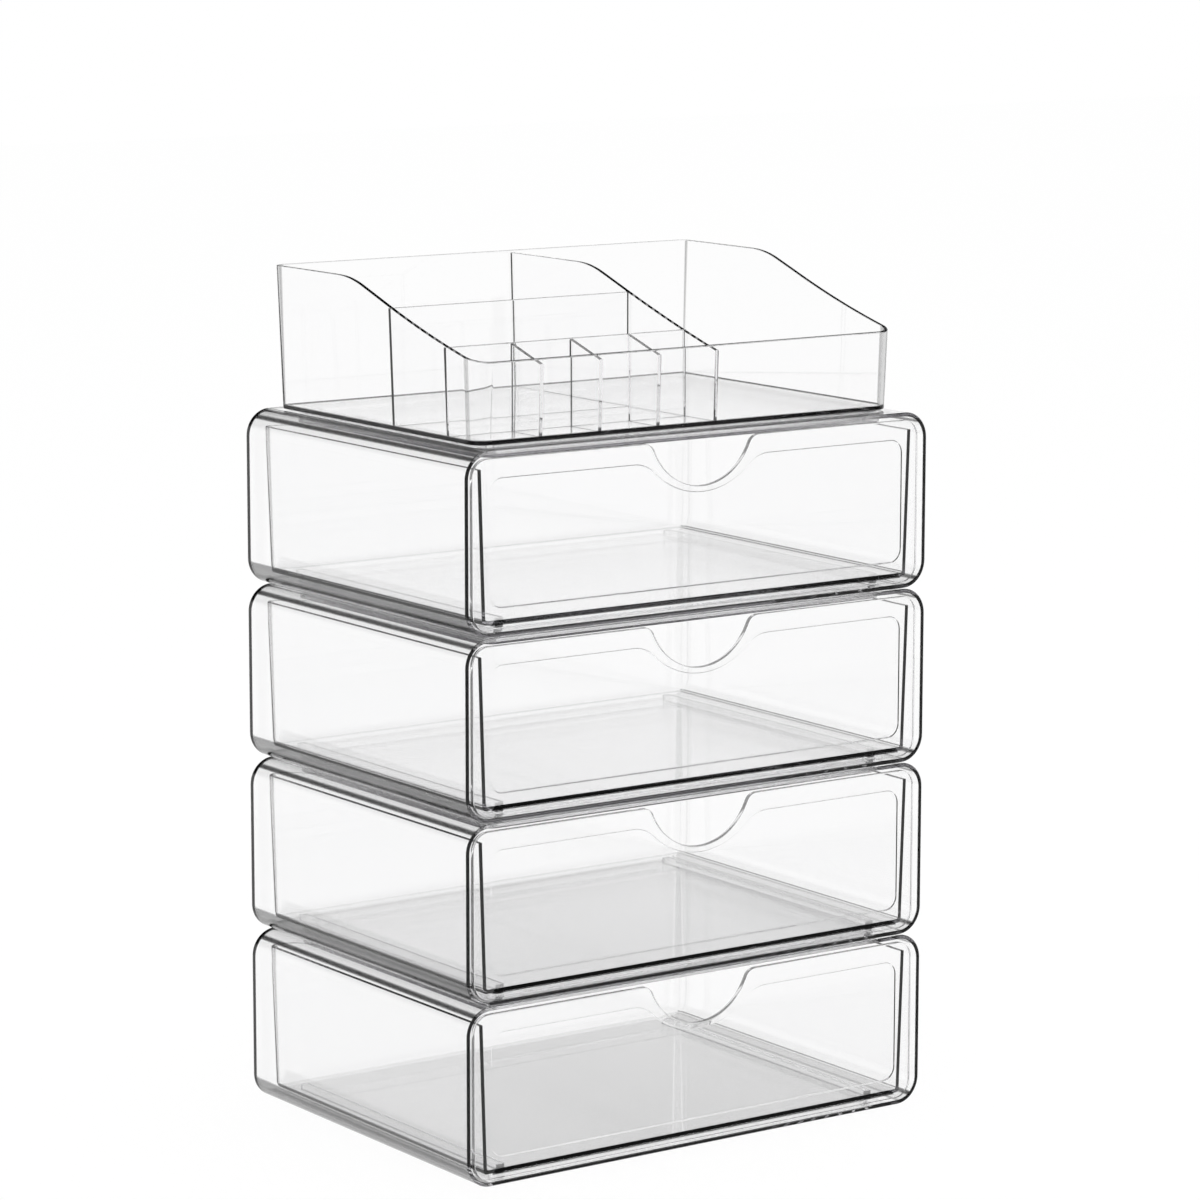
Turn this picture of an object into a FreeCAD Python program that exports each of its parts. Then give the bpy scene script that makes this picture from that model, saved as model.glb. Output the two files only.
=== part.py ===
import FreeCAD, Part
import math
import os
import Sketcher

# Clear stacking vanity organiser: four open-fronted cases, each with one pull-out drawer, and a
# compartment tray on top. Every case has a sunk top, and the ring foot of the unit above stands
# in it. Millimetres; +Z up, the drawers open towards -Y, Z = 0 at the lowest foot.

os.makedirs("parts", exist_ok=True)
doc = FreeCAD.newDocument("vanity_organiser")
sheet = doc.addObject("Spreadsheet::Sheet", "params")

# ---------------------------------------------------------------------------------------------
# Driving dimensions: name -> (millimetres or degrees, meaning)
# ---------------------------------------------------------------------------------------------
DIMENSIONS = {
    # case shell
    "case_width": (250.0, "outside width of a case"),
    "case_depth": (179.0, "outside depth of a case"),
    "case_height": (79.9, "height of a case shell without its foot"),
    "case_round": (12.0, "outside radius of the long edges"),
    "case_wall": (1.8, "wall thickness of every moulding"),
    "rim_bevel": (0.45, "softened corners of the front rim and the sunk top"),
    "back_bevel": (1.2, "bevel of the rear outer edge"),
    # stacking: sunk top and ring foot
    "seat_side_margin": (18.8, "width of the case top beside the sunk part"),
    "seat_front_margin": (11.0, "depth of the case top in front of the sunk part"),
    "seat_back_margin": (17.0, "depth of the case top behind the sunk part"),
    "seat_depth": (3.0, "depth of the sunk top"),
    "seat_round": (4.0, "plan corner radius of the sunk top"),
    "foot_clearance": (0.5, "play of a ring foot in the sunk top, each side"),
    "stack_gap": (0.5, "open line left between two stacked shells"),
    # drawer front
    "front_reveal": (0.9, "set-back of the drawer front from the case rim"),
    "front_thickness": (2.2, "thickness of the drawer front"),
    "front_side_gap": (2.5, "gap between drawer front and case side"),
    "front_floor_gap": (0.8, "gap between drawer front and case floor"),
    "front_roof_gap": (1.8, "gap between drawer front and case roof"),
    "front_round": (7.7, "corner radius of the drawer front"),
    "front_bevel": (0.4, "softened face edge of the drawer front"),
    "notch_half_width": (31.0, "finger notch, half width at the top edge"),
    "notch_depth": (20.4, "finger notch depth"),
    "notch_shoulder": (5.8, "finger notch shoulder radius"),
    "panel_side_margin": (9.2, "inset panel, distance from the front's side edge"),
    "panel_top_margin": (8.6, "inset panel, distance from the front's top edge"),
    "panel_low_margin": (9.5, "inset panel, distance from the front's lower edge"),
    "panel_round": (6.0, "inset panel corner radius"),
    "panel_inset": (0.6, "depth of the inset panel"),
    "dip_half_width": (47.0, "half width of the panel's dip under the notch"),
    "dip_depth": (14.5, "depth of the panel's dip"),
    "dip_shoulder": (45.0, "shoulder radius of the panel's dip"),
    # drawer bin
    "runner_play": (0.3, "running clearance of the runners over the case floor"),
    "runner_height": (2.8, "height of the runners under the bin"),
    "runner_width": (4.4, "width of a runner"),
    "runner_margin": (13.2, "distance of a runner's middle from the bin's side"),
    "runner_inset": (6.0, "runner ends, distance from the bin's ends"),
    "bin_side_gap": (5.9, "gap between the bin's upper edge and the case side"),
    "bin_back_gap": (0.8, "gap between the bin's upper edge and the case back"),
    "bin_roof_gap": (3.2, "gap between the bin's upper edge and the case roof"),
    "bin_draft": (1.8, "draft of the bin walls, degrees"),
    "bin_round": (3.0, "corner radius of the bin"),
    "bin_floor_round": (1.6, "rounding of the bin's lower edge"),
    # top tray
    "tray_side_overhang": (6.1, "tray base beyond the side of the sunk top"),
    "tray_front_overhang": (1.1, "tray base beyond the front of the sunk top"),
    "tray_back_overhang": (6.5, "tray base beyond the back of the sunk top"),
    "tray_height": (65.0, "height of the tray at the back"),
    "tray_draft": (2.1, "draft of the tray walls, degrees"),
    "tray_round": (8.0, "plan corner radius of the tray's front corners"),
    "tray_back_round": (2.4, "plan corner radius of the tray's rear corners"),
    "tray_base_bevel": (0.8, "bevel of the tray's base edge"),
    "sweep_start": (106.6, "where the side walls begin to fall, from the tray's front"),
    "sweep_bow": (60.0, "radius of the bow where the side walls begin to fall"),
    "sweep_knee": (67.6, "where the hollow part begins, from the tray's front"),
    "sweep_knee_drop": (10.0, "fall of the side walls down to the hollow part"),
    "lip_drop": (31.1, "fall of the side walls down to the front wall"),
    "divider_drop": (1.0, "dividers stand this much lower than the side walls"),
    "divider_thickness": (1.8, "divider thickness"),
    "bay_split": (14.0, "long divider, distance right of the middle"),
    "cell_pitch": (31.0, "pitch of the small front cells"),
    "cell_depth": (23.3, "front cross divider, distance from the tray's front"),
    "cell_rise": (6.3, "front cross divider's height above the front wall"),
    "bay_front": (66.0, "rear cross divider, distance from the tray's front"),
    "bay_drop": (11.6, "rear cross divider's top below the side walls"),
}

UNITS = 4           # cases in the stack
SMALL_CELLS = 4     # small cells in the tray's front row


class Size:
    """A size that carries its number together with the sheet formula that yields it."""

    def __init__(self, value, text):
        self.value = value
        self.text = text

    @staticmethod
    def of(item):
        """Return item as a Size, plain numbers included."""
        return item if isinstance(item, Size) else Size(float(item), repr(float(item)))

    def __add__(self, other):
        other = Size.of(other)
        return Size(self.value + other.value, f"({self.text} + {other.text})")

    def __sub__(self, other):
        other = Size.of(other)
        return Size(self.value - other.value, f"({self.text} - {other.text})")

    def __mul__(self, other):
        other = Size.of(other)
        return Size(self.value * other.value, f"({self.text} * {other.text})")

    def __truediv__(self, other):
        other = Size.of(other)
        return Size(self.value / other.value, f"({self.text} / {other.text})")

    def __neg__(self):
        return Size(-self.value, f"(-1 * {self.text})")

    def slope(self):
        """Return the tangent of this angle in degrees."""
        return Size(math.tan(math.radians(self.value)), f"tan({self.text} * 1 deg)")

    def sine(self):
        """Return the sine of this angle in degrees."""
        return Size(math.sin(math.radians(self.value)), f"sin({self.text} * 1 deg)")

    def cosine(self):
        """Return the cosine of this angle in degrees."""
        return Size(math.cos(math.radians(self.value)), f"cos({self.text} * 1 deg)")


sizes = {}
for row, (alias, (number, meaning)) in enumerate(DIMENSIONS.items(), start=1):
    sheet.set(f"A{row}", meaning)
    sheet.set(f"B{row}", str(number))
    sheet.setAlias(f"B{row}", alias)
    sizes[alias] = Size(number, f"params.{alias}")
doc.recompute()

wall = sizes["case_wall"]
half_width = sizes["case_width"] / 2
half_depth = sizes["case_depth"] / 2
foot_height = sizes["seat_depth"] + sizes["stack_gap"]
pitch = sizes["case_height"] + sizes["stack_gap"]
seat_half_width = half_width - sizes["seat_side_margin"]
seat_front = half_depth - sizes["seat_front_margin"]
seat_back = half_depth - sizes["seat_back_margin"]
foot_half_width = seat_half_width - sizes["foot_clearance"]
foot_front = seat_front - sizes["foot_clearance"]
foot_back = seat_back - sizes["foot_clearance"]
tray_half_width = seat_half_width + sizes["tray_side_overhang"]
tray_front = seat_front + sizes["tray_front_overhang"]
tray_back = seat_back + sizes["tray_back_overhang"]
ZERO = Size(0.0, "0.0")


# ---------------------------------------------------------------------------------------------
# Sketch helpers
# ---------------------------------------------------------------------------------------------
def new_body(name, lift):
    """Start a body called name whose frame stands lift above the ground."""
    body = doc.addObject("PartDesign::Body", name)
    body.Label = name
    body.setExpression("Placement.Base.z", lift.text)
    return body


def new_sketch(body, name, role, offset=ZERO):
    """Add a sketch on one of the body's own origin planes, moved along its normal."""
    sketch = body.newObject("Sketcher::SketchObject", f"{body.Name}_{name}")
    plane = next(item for item in body.Origin.OriginFeatures if item.Role == role)
    sketch.AttachmentSupport = (plane, [""])
    sketch.MapMode = "FlatFace"
    sketch.setExpression("AttachmentOffset.Base.z", offset.text)
    return sketch


def rule(sketch, name, constraint, size):
    """Add a dimension to the sketch and tie it to its formula."""
    index = sketch.addConstraint(constraint)
    sketch.renameConstraint(index, name)
    sketch.setExpression(f"Constraints.{name}", size.text)


def pin(sketch, name, kind, geo, end, size):
    """Hold one point at a signed distance from the sketch origin along X or Y."""
    if abs(size.value) < 1e-9:
        axis = -2 if kind == "DistanceX" else -1
        sketch.addConstraint(Sketcher.Constraint("PointOnObject", geo, end, axis))
    elif size.value > 0:
        rule(sketch, name, Sketcher.Constraint(kind, -1, 1, geo, end, size.value), size)
    else:
        rule(sketch, name, Sketcher.Constraint(kind, geo, end, -1, 1, -size.value), -size)


def vec(x, y):
    """Return a point of a sketch plane."""
    return FreeCAD.Vector(x, y, 0)


def line(sketch, start, end):
    """Add a straight edge."""
    return sketch.addGeometry(Part.LineSegment(vec(*start), vec(*end)), False)


def arc(sketch, centre, radius, first, last):
    """Add a round edge, counter-clockwise between two angles in degrees."""
    circle = Part.Circle(vec(*centre), FreeCAD.Vector(0, 0, 1), radius)
    sweep = Part.ArcOfCircle(circle, math.radians(first), math.radians(last))
    return sketch.addGeometry(sweep, False)


def smooth(sketch, first, end, second, start):
    """Join two edges end to end without a corner."""
    sketch.addConstraint(Sketcher.Constraint("Tangent", first, end, second, start))


def join(sketch, first, end, second, start):
    """Join two edges end to end."""
    sketch.addConstraint(Sketcher.Constraint("Coincident", first, end, second, start))


def level(sketch, *edges):
    """Keep edges parallel to the sketch's X axis."""
    for edge in edges:
        sketch.addConstraint(Sketcher.Constraint("Horizontal", edge))


def upright(sketch, *edges):
    """Keep edges parallel to the sketch's Y axis."""
    for edge in edges:
        sketch.addConstraint(Sketcher.Constraint("Vertical", edge))


def rectangle(sketch, tag, left, right, low, high, radius, far_radius=None):
    """Draw a round-cornered rectangle; the far pair of corners may take a radius of its own."""
    x0, x1, y0, y1, r = left.value, right.value, low.value, high.value, radius.value
    q = r if far_radius is None else far_radius.value
    bottom = line(sketch, (x0 + r, y0), (x1 - r, y0))
    corner_a = arc(sketch, (x1 - r, y0 + r), r, 270, 360)
    side_r = line(sketch, (x1, y0 + r), (x1, y1 - q))
    corner_b = arc(sketch, (x1 - q, y1 - q), q, 0, 90)
    top = line(sketch, (x1 - q, y1), (x0 + q, y1))
    corner_c = arc(sketch, (x0 + q, y1 - q), q, 90, 180)
    side_l = line(sketch, (x0, y1 - q), (x0, y0 + r))
    corner_d = arc(sketch, (x0 + r, y0 + r), r, 180, 270)
    chain = [bottom, corner_a, side_r, corner_b, top, corner_c, side_l, corner_d]
    for here, after in zip(chain, chain[1:] + chain[:1]):
        smooth(sketch, here, 2, after, 1)
    level(sketch, bottom, top)
    upright(sketch, side_r, side_l)
    sketch.addConstraint(Sketcher.Constraint("Equal", corner_a, corner_d))
    sketch.addConstraint(Sketcher.Constraint("Equal", corner_b, corner_c))
    rule(sketch, f"{tag}_radius", Sketcher.Constraint("Radius", corner_a, r), radius)
    if far_radius is None:
        sketch.addConstraint(Sketcher.Constraint("Equal", corner_a, corner_b))
    else:
        rule(sketch, f"{tag}_far_radius", Sketcher.Constraint("Radius", corner_b, q), far_radius)
    pin(sketch, f"{tag}_left", "DistanceX", side_l, 1, left)
    pin(sketch, f"{tag}_right", "DistanceX", side_r, 1, right)
    pin(sketch, f"{tag}_low", "DistanceY", bottom, 1, low)
    pin(sketch, f"{tag}_high", "DistanceY", top, 1, high)


def scooped_rectangle(sketch, tag, half, low, high, radius, scoop_half, scoop_depth, shoulder):
    """Draw a symmetric round-cornered outline whose top edge dips in a smooth scoop."""
    w, y0, y1, r = half.value, low.value, high.value, radius.value
    a, d, s = scoop_half.value, scoop_depth.value, shoulder.value
    reach = (a * a + d * d) / (2 * d)     # shoulder radius + bowl radius, from their tangency
    bowl = reach - s
    turn = math.degrees(math.asin(a / reach))
    rise = y1 - d + bowl
    bottom = line(sketch, (-w + r, y0), (w - r, y0))
    corner_a = arc(sketch, (w - r, y0 + r), r, 270, 360)
    side_r = line(sketch, (w, y0 + r), (w, y1 - r))
    corner_b = arc(sketch, (w - r, y1 - r), r, 0, 90)
    top_r = line(sketch, (w - r, y1), (a, y1))
    shoulder_r = arc(sketch, (a, y1 - s), s, 90, 90 + turn)
    dip = arc(sketch, (0, rise), bowl, 270 - turn, 270 + turn)
    shoulder_l = arc(sketch, (-a, y1 - s), s, 90 - turn, 90)
    top_l = line(sketch, (-a, y1), (-w + r, y1))
    corner_c = arc(sketch, (-w + r, y1 - r), r, 90, 180)
    side_l = line(sketch, (-w, y1 - r), (-w, y0 + r))
    corner_d = arc(sketch, (-w + r, y0 + r), r, 180, 270)
    for first, end, second, start in (
        (bottom, 2, corner_a, 1), (corner_a, 2, side_r, 1), (side_r, 2, corner_b, 1),
        (corner_b, 2, top_r, 1), (top_r, 2, shoulder_r, 1), (shoulder_r, 2, dip, 2),
        (dip, 1, shoulder_l, 1), (shoulder_l, 2, top_l, 1), (top_l, 2, corner_c, 1),
        (corner_c, 2, side_l, 1), (side_l, 2, corner_d, 1), (corner_d, 2, bottom, 1),
    ):
        smooth(sketch, first, end, second, start)
    level(sketch, bottom, top_r, top_l)
    upright(sketch, side_r, side_l)
    for corner in (corner_b, corner_c, corner_d):
        sketch.addConstraint(Sketcher.Constraint("Equal", corner_a, corner))
    sketch.addConstraint(Sketcher.Constraint("Equal", shoulder_r, shoulder_l))
    sketch.addConstraint(Sketcher.Constraint("PointOnObject", dip, 3, -2))
    rule(sketch, f"{tag}_radius", Sketcher.Constraint("Radius", corner_a, r), radius)
    rule(sketch, f"{tag}_shoulder", Sketcher.Constraint("Radius", shoulder_r, s), shoulder)
    pin(sketch, f"{tag}_left", "DistanceX", side_l, 1, -half)
    pin(sketch, f"{tag}_right", "DistanceX", side_r, 1, half)
    pin(sketch, f"{tag}_low", "DistanceY", bottom, 1, low)
    pin(sketch, f"{tag}_high_right", "DistanceY", top_r, 1, high)
    pin(sketch, f"{tag}_high_left", "DistanceY", top_l, 1, high)
    pin(sketch, f"{tag}_scoop", "DistanceX", top_r, 2, scoop_half)
    bowl_size = (scoop_half * scoop_half + scoop_depth * scoop_depth) / (scoop_depth * 2) - shoulder
    rule(sketch, f"{tag}_bowl", Sketcher.Constraint("Radius", dip, bowl), bowl_size)


# ---------------------------------------------------------------------------------------------
# Feature helpers
# ---------------------------------------------------------------------------------------------
def grow(body, sketch, name, length, taper=None, symmetric=False, against=False):
    """Pad a sketch."""
    pad = body.newObject("PartDesign::Pad", f"{body.Name}_{name}")
    pad.Profile = sketch
    pad.setExpression("Length", length.text)
    pad.Midplane = symmetric
    pad.Reversed = against
    if taper is not None:
        pad.setExpression("TaperAngle", taper.text)
    settle(body, pad)
    return pad


def cut(body, sketch, name, length, taper=None, symmetric=False, against=False):
    """Pocket a sketch and make sure that it removed material."""
    before = body.Shape.Volume
    pocket = body.newObject("PartDesign::Pocket", f"{body.Name}_{name}")
    pocket.Profile = sketch
    pocket.setExpression("Length", length.text)
    pocket.Midplane = symmetric
    pocket.Reversed = against
    if taper is not None:
        pocket.setExpression("TaperAngle", taper.text)
    settle(body, pocket)
    if body.Shape.Volume >= before - 1.0:
        raise RuntimeError(f"{pocket.Name} removed nothing")
    return pocket


def settle(body, feature):
    """Hide the profile, recompute and stop on a broken feature."""
    doc.recompute()
    state = ",".join(feature.State)
    if "Invalid" in state or "Error" in state or feature.Shape.isNull():
        raise RuntimeError(f"{feature.Name}: {state}")


def round_edges(body, name, radius, chosen):
    """Fillet the edges of the body's tip for which chosen(edge) holds."""
    base = body.Tip
    names = [f"Edge{i}" for i, edge in enumerate(base.Shape.Edges, start=1) if chosen(edge)]
    if not names:
        raise RuntimeError(f"{body.Name}_{name} has no edges")
    fillet = body.newObject("PartDesign::Fillet", f"{body.Name}_{name}")
    fillet.Base = (base, names)
    fillet.setExpression("Radius", radius.text)
    settle(body, fillet)
    return fillet


def seat_limits(bounds):
    """Tell whether an edge lies within the outline of the sunk top."""
    slack = 0.01
    return (bounds.XMin > -seat_half_width.value - slack
            and bounds.XMax < seat_half_width.value + slack
            and bounds.YMin > -seat_front.value - slack
            and bounds.YMax < seat_back.value + slack)


def bevel_edges(body, name, size, chosen):
    """Chamfer the edges of the body's tip for which chosen(edge) holds."""
    base = body.Tip
    names = [f"Edge{i}" for i, edge in enumerate(base.Shape.Edges, start=1) if chosen(edge)]
    if not names:
        raise RuntimeError(f"{body.Name}_{name} has no edges")
    chamfer = body.newObject("PartDesign::Chamfer", f"{body.Name}_{name}")
    chamfer.Base = (base, names)
    chamfer.setExpression("Size", size.text)
    settle(body, chamfer)
    return chamfer


def on_plane(axis, value, box=None):
    """Return a test for edges that lie in one plane and whose bounds also pass box."""
    def test(edge):
        bounds = edge.BoundBox
        low = getattr(bounds, f"{axis}Min")
        high = getattr(bounds, f"{axis}Max")
        if abs(low - value) > 1e-3 or abs(high - value) > 1e-3:
            return False
        return box is None or box(bounds)
    return test


def ring_foot(body):
    """Add the ring foot that stands in the sunk top of the unit below."""
    sketch = new_sketch(body, "foot_ring", "XY_Plane")
    rectangle(sketch, "outer", -foot_half_width, foot_half_width, -foot_front, foot_back,
              sizes["seat_round"] - sizes["foot_clearance"])
    rectangle(sketch, "inner", -(foot_half_width - wall), foot_half_width - wall,
              -(foot_front - wall), foot_back - wall,
              sizes["seat_round"] - sizes["foot_clearance"] - wall)
    grow(body, sketch, "foot", foot_height + wall / 2)


# ---------------------------------------------------------------------------------------------
# Case
# ---------------------------------------------------------------------------------------------
def make_case(index):
    """Build case number index (0 = lowest); its frame stands on its foot."""
    body = new_body(f"case_{index + 1}", pitch * index)
    top = foot_height + sizes["case_height"]
    cavity_round = sizes["case_round"] - wall

    shell = new_sketch(body, "shell", "XZ_Plane")
    rectangle(shell, "shell", -half_width, half_width, foot_height, top, sizes["case_round"])
    grow(body, shell, "shell_pad", sizes["case_depth"], symmetric=True)

    cavity = new_sketch(body, "cavity", "XZ_Plane", half_depth)
    rectangle(cavity, "cavity", wall - half_width, half_width - wall, foot_height + wall,
              top - wall, cavity_round)
    cut(body, cavity, "cavity_cut", sizes["case_depth"] - wall)

    # the roof steps down under the sunk top so that the wall stays even
    roof = new_sketch(body, "roof", "XY_Plane", top - wall - sizes["seat_depth"])
    rectangle(roof, "roof", -(seat_half_width + wall), seat_half_width + wall,
              -(seat_front + wall), seat_back + wall,
              sizes["seat_round"] + wall)
    grow(body, roof, "roof_pad", sizes["seat_depth"] + wall / 2)

    seat = new_sketch(body, "seat", "XY_Plane", top)
    rectangle(seat, "seat", -seat_half_width, seat_half_width,
              -seat_front, seat_back, sizes["seat_round"])
    cut(body, seat, "seat_cut", sizes["seat_depth"])

    bevel_edges(body, "rim", sizes["rim_bevel"], on_plane("Y", -half_depth.value))
    bevel_edges(body, "back", sizes["back_bevel"], on_plane("Y", half_depth.value))
    bevel_edges(body, "seat_edge", sizes["rim_bevel"], on_plane("Z", top.value, seat_limits))
    ring_foot(body)
    return body


# ---------------------------------------------------------------------------------------------
# Drawer
# ---------------------------------------------------------------------------------------------
def make_drawer(index):
    """Build the drawer of case number index; its frame stands on the case shell's underside."""
    body = new_body(f"drawer_{index + 1}", pitch * index + foot_height)
    bin_low = wall + sizes["runner_play"] + sizes["runner_height"]
    front_face = half_depth - sizes["front_reveal"]
    front_back = front_face - sizes["front_thickness"]
    draft = sizes["bin_draft"]
    bin_high = sizes["case_height"] - wall - sizes["seat_depth"] - sizes["bin_roof_gap"]
    bin_height = bin_high - bin_low
    flare = bin_height * draft.slope()
    bin_half = half_width - wall - sizes["bin_side_gap"] - flare
    bin_back = half_depth - wall - sizes["bin_back_gap"] - flare

    outside = new_sketch(body, "bin", "XY_Plane", bin_low)
    rectangle(outside, "bin", -bin_half, bin_half,
              -(half_depth + wall * 3), bin_back, sizes["bin_round"])
    grow(body, outside, "bin_pad", bin_height, taper=draft)
    round_edges(body, "bin_edge", sizes["bin_floor_round"], on_plane("Z", bin_low.value))

    lean = wall * draft.slope()
    inside = new_sketch(body, "room", "XY_Plane", bin_low + wall)
    rectangle(inside, "room", wall - lean - bin_half,
              bin_half + lean - wall, -(half_depth + wall),
              bin_back + lean - wall, sizes["bin_round"] - wall / 2)
    cut(body, inside, "room_cut", bin_height, taper=draft, against=True)

    # the bin stops inside the thickness of the front
    trim = new_sketch(body, "trim", "XZ_Plane", front_back + sizes["front_thickness"] / 2)
    rectangle(trim, "trim", -half_width, half_width, wall, sizes["case_height"], wall)
    cut(body, trim, "trim_cut", half_depth, against=True)

    front_low = wall + sizes["front_floor_gap"]
    front_top = sizes["case_height"] - wall - sizes["front_roof_gap"]
    front_half = half_width - wall - sizes["front_side_gap"]
    front = new_sketch(body, "front", "XZ_Plane", front_back)
    scooped_rectangle(front, "front", front_half, front_low, front_top, sizes["front_round"],
                      sizes["notch_half_width"], sizes["notch_depth"], sizes["notch_shoulder"])
    grow(body, front, "front_pad", sizes["front_thickness"])
    bevel_edges(body, "front_edge", sizes["front_bevel"],
                on_plane("Y", -front_face.value))

    panel = new_sketch(body, "panel", "XZ_Plane", front_face)
    scooped_rectangle(panel, "panel", front_half - sizes["panel_side_margin"],
                      front_low + sizes["panel_low_margin"],
                      front_top - sizes["panel_top_margin"], sizes["panel_round"],
                      sizes["dip_half_width"], sizes["dip_depth"], sizes["dip_shoulder"])
    cut(body, panel, "panel_cut", sizes["panel_inset"])

    # two runners carry the bin over the case floor
    runners = new_sketch(body, "runners", "XY_Plane", wall + sizes["runner_play"])
    for tag, side in (("left", -1), ("right", 1)):
        middle = (bin_half - sizes["runner_margin"]) * side
        rectangle(runners, tag, middle - sizes["runner_width"] / 2,
                  middle + sizes["runner_width"] / 2, sizes["runner_inset"] - front_back,
                  bin_back - sizes["runner_inset"], sizes["runner_width"] / 4)
    grow(body, runners, "runner_pad", sizes["runner_height"] + wall / 2)
    return body


# ---------------------------------------------------------------------------------------------
# Top tray
# ---------------------------------------------------------------------------------------------
def chord_arc(sketch, first, second, angle):
    """Draw an arc that leaves first at angle degrees below -X and ends at second."""
    (x0, y0), (x1, y1) = first, second
    chord = math.hypot(x1 - x0, y1 - y0)
    lean = math.degrees(math.atan2(y0 - y1, x0 - x1))
    bend = math.radians(angle - lean)
    radius = chord / (2 * math.sin(bend))
    slope = math.radians(angle)
    centre = (x0 - radius * math.sin(slope), y0 + radius * math.cos(slope))
    last = 270 + angle
    # the hollow side faces up, so the arc hangs below its centre
    return arc(sketch, centre, radius, last - 2 * math.degrees(bend), last)


def tray_outline(sketch, tag, front, back, closing, drop):
    """Draw an outline in the YZ plane whose one long edge is the falling side profile.

    front and back hold the (profile, closing edge) distances from the middle; closing is the
    height of the straight edge opposite the profile; drop lowers the profile.
    """
    base = foot_height - drop
    high = base + sizes["tray_height"]
    lip = high - sizes["lip_drop"]
    bow = sizes["sweep_bow"]
    start = sizes["sweep_start"] - tray_front
    knee_y = sizes["sweep_knee"] - tray_front
    knee_z = high - sizes["sweep_knee_drop"]
    across = knee_y.value - start.value
    rise = knee_z.value - high.value + bow.value
    angle = math.degrees(math.atan2(rise, across)
                         - math.acos(bow.value / math.hypot(across, rise))) - 90
    turn = math.radians(angle)
    bow_end = (start.value - bow.value * math.sin(turn),
               high.value - bow.value * (1 - math.cos(turn)))
    knee = (knee_y.value, knee_z.value)
    top = line(sketch, (back[0].value, high.value), (start.value, high.value))
    curve = arc(sketch, (start.value, high.value - bow.value), bow.value, 90, 90 + angle)
    slide = line(sketch, bow_end, knee)
    hollow = chord_arc(sketch, knee, (front[0].value, lip.value), angle)
    front_edge = line(sketch, (front[0].value, lip.value), (front[1].value, closing.value))
    close_edge = line(sketch, (front[1].value, closing.value), (back[1].value, closing.value))
    back_edge = line(sketch, (back[1].value, closing.value), (back[0].value, high.value))
    smooth(sketch, top, 2, curve, 1)
    smooth(sketch, curve, 2, slide, 1)
    smooth(sketch, slide, 2, hollow, 2)
    join(sketch, hollow, 1, front_edge, 1)
    join(sketch, front_edge, 2, close_edge, 1)
    join(sketch, close_edge, 2, back_edge, 1)
    join(sketch, back_edge, 2, top, 1)
    level(sketch, top, close_edge)
    rule(sketch, f"{tag}_bow", Sketcher.Constraint("Radius", curve, bow.value), bow)
    pin(sketch, f"{tag}_start", "DistanceX", top, 2, start)
    pin(sketch, f"{tag}_high", "DistanceY", top, 2, high)
    pin(sketch, f"{tag}_knee_y", "DistanceX", slide, 2, knee_y)
    pin(sketch, f"{tag}_knee_z", "DistanceY", slide, 2, knee_z)
    pin(sketch, f"{tag}_front_top", "DistanceX", front_edge, 1, front[0])
    pin(sketch, f"{tag}_lip", "DistanceY", front_edge, 1, lip)
    pin(sketch, f"{tag}_front_close", "DistanceX", front_edge, 2, front[1])
    pin(sketch, f"{tag}_close", "DistanceY", close_edge, 1, closing)
    pin(sketch, f"{tag}_back_close", "DistanceX", back_edge, 1, back[1])
    pin(sketch, f"{tag}_back_top", "DistanceX", back_edge, 2, back[0])


def panel(sketch, tag, corners):
    """Draw a four-sided outline with level base and top from four signed corner points."""
    points = [(x.value, y.value) for x, y in corners]
    edges = [line(sketch, a, b) for a, b in zip(points, points[1:] + points[:1])]
    for here, after in zip(edges, edges[1:] + edges[:1]):
        join(sketch, here, 2, after, 1)
    for number, (edge, (x, y)) in enumerate(zip(edges, corners)):
        pin(sketch, f"{tag}_x{number}", "DistanceX", edge, 1, x)
        pin(sketch, f"{tag}_y{number}", "DistanceY", edge, 1, y)


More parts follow.
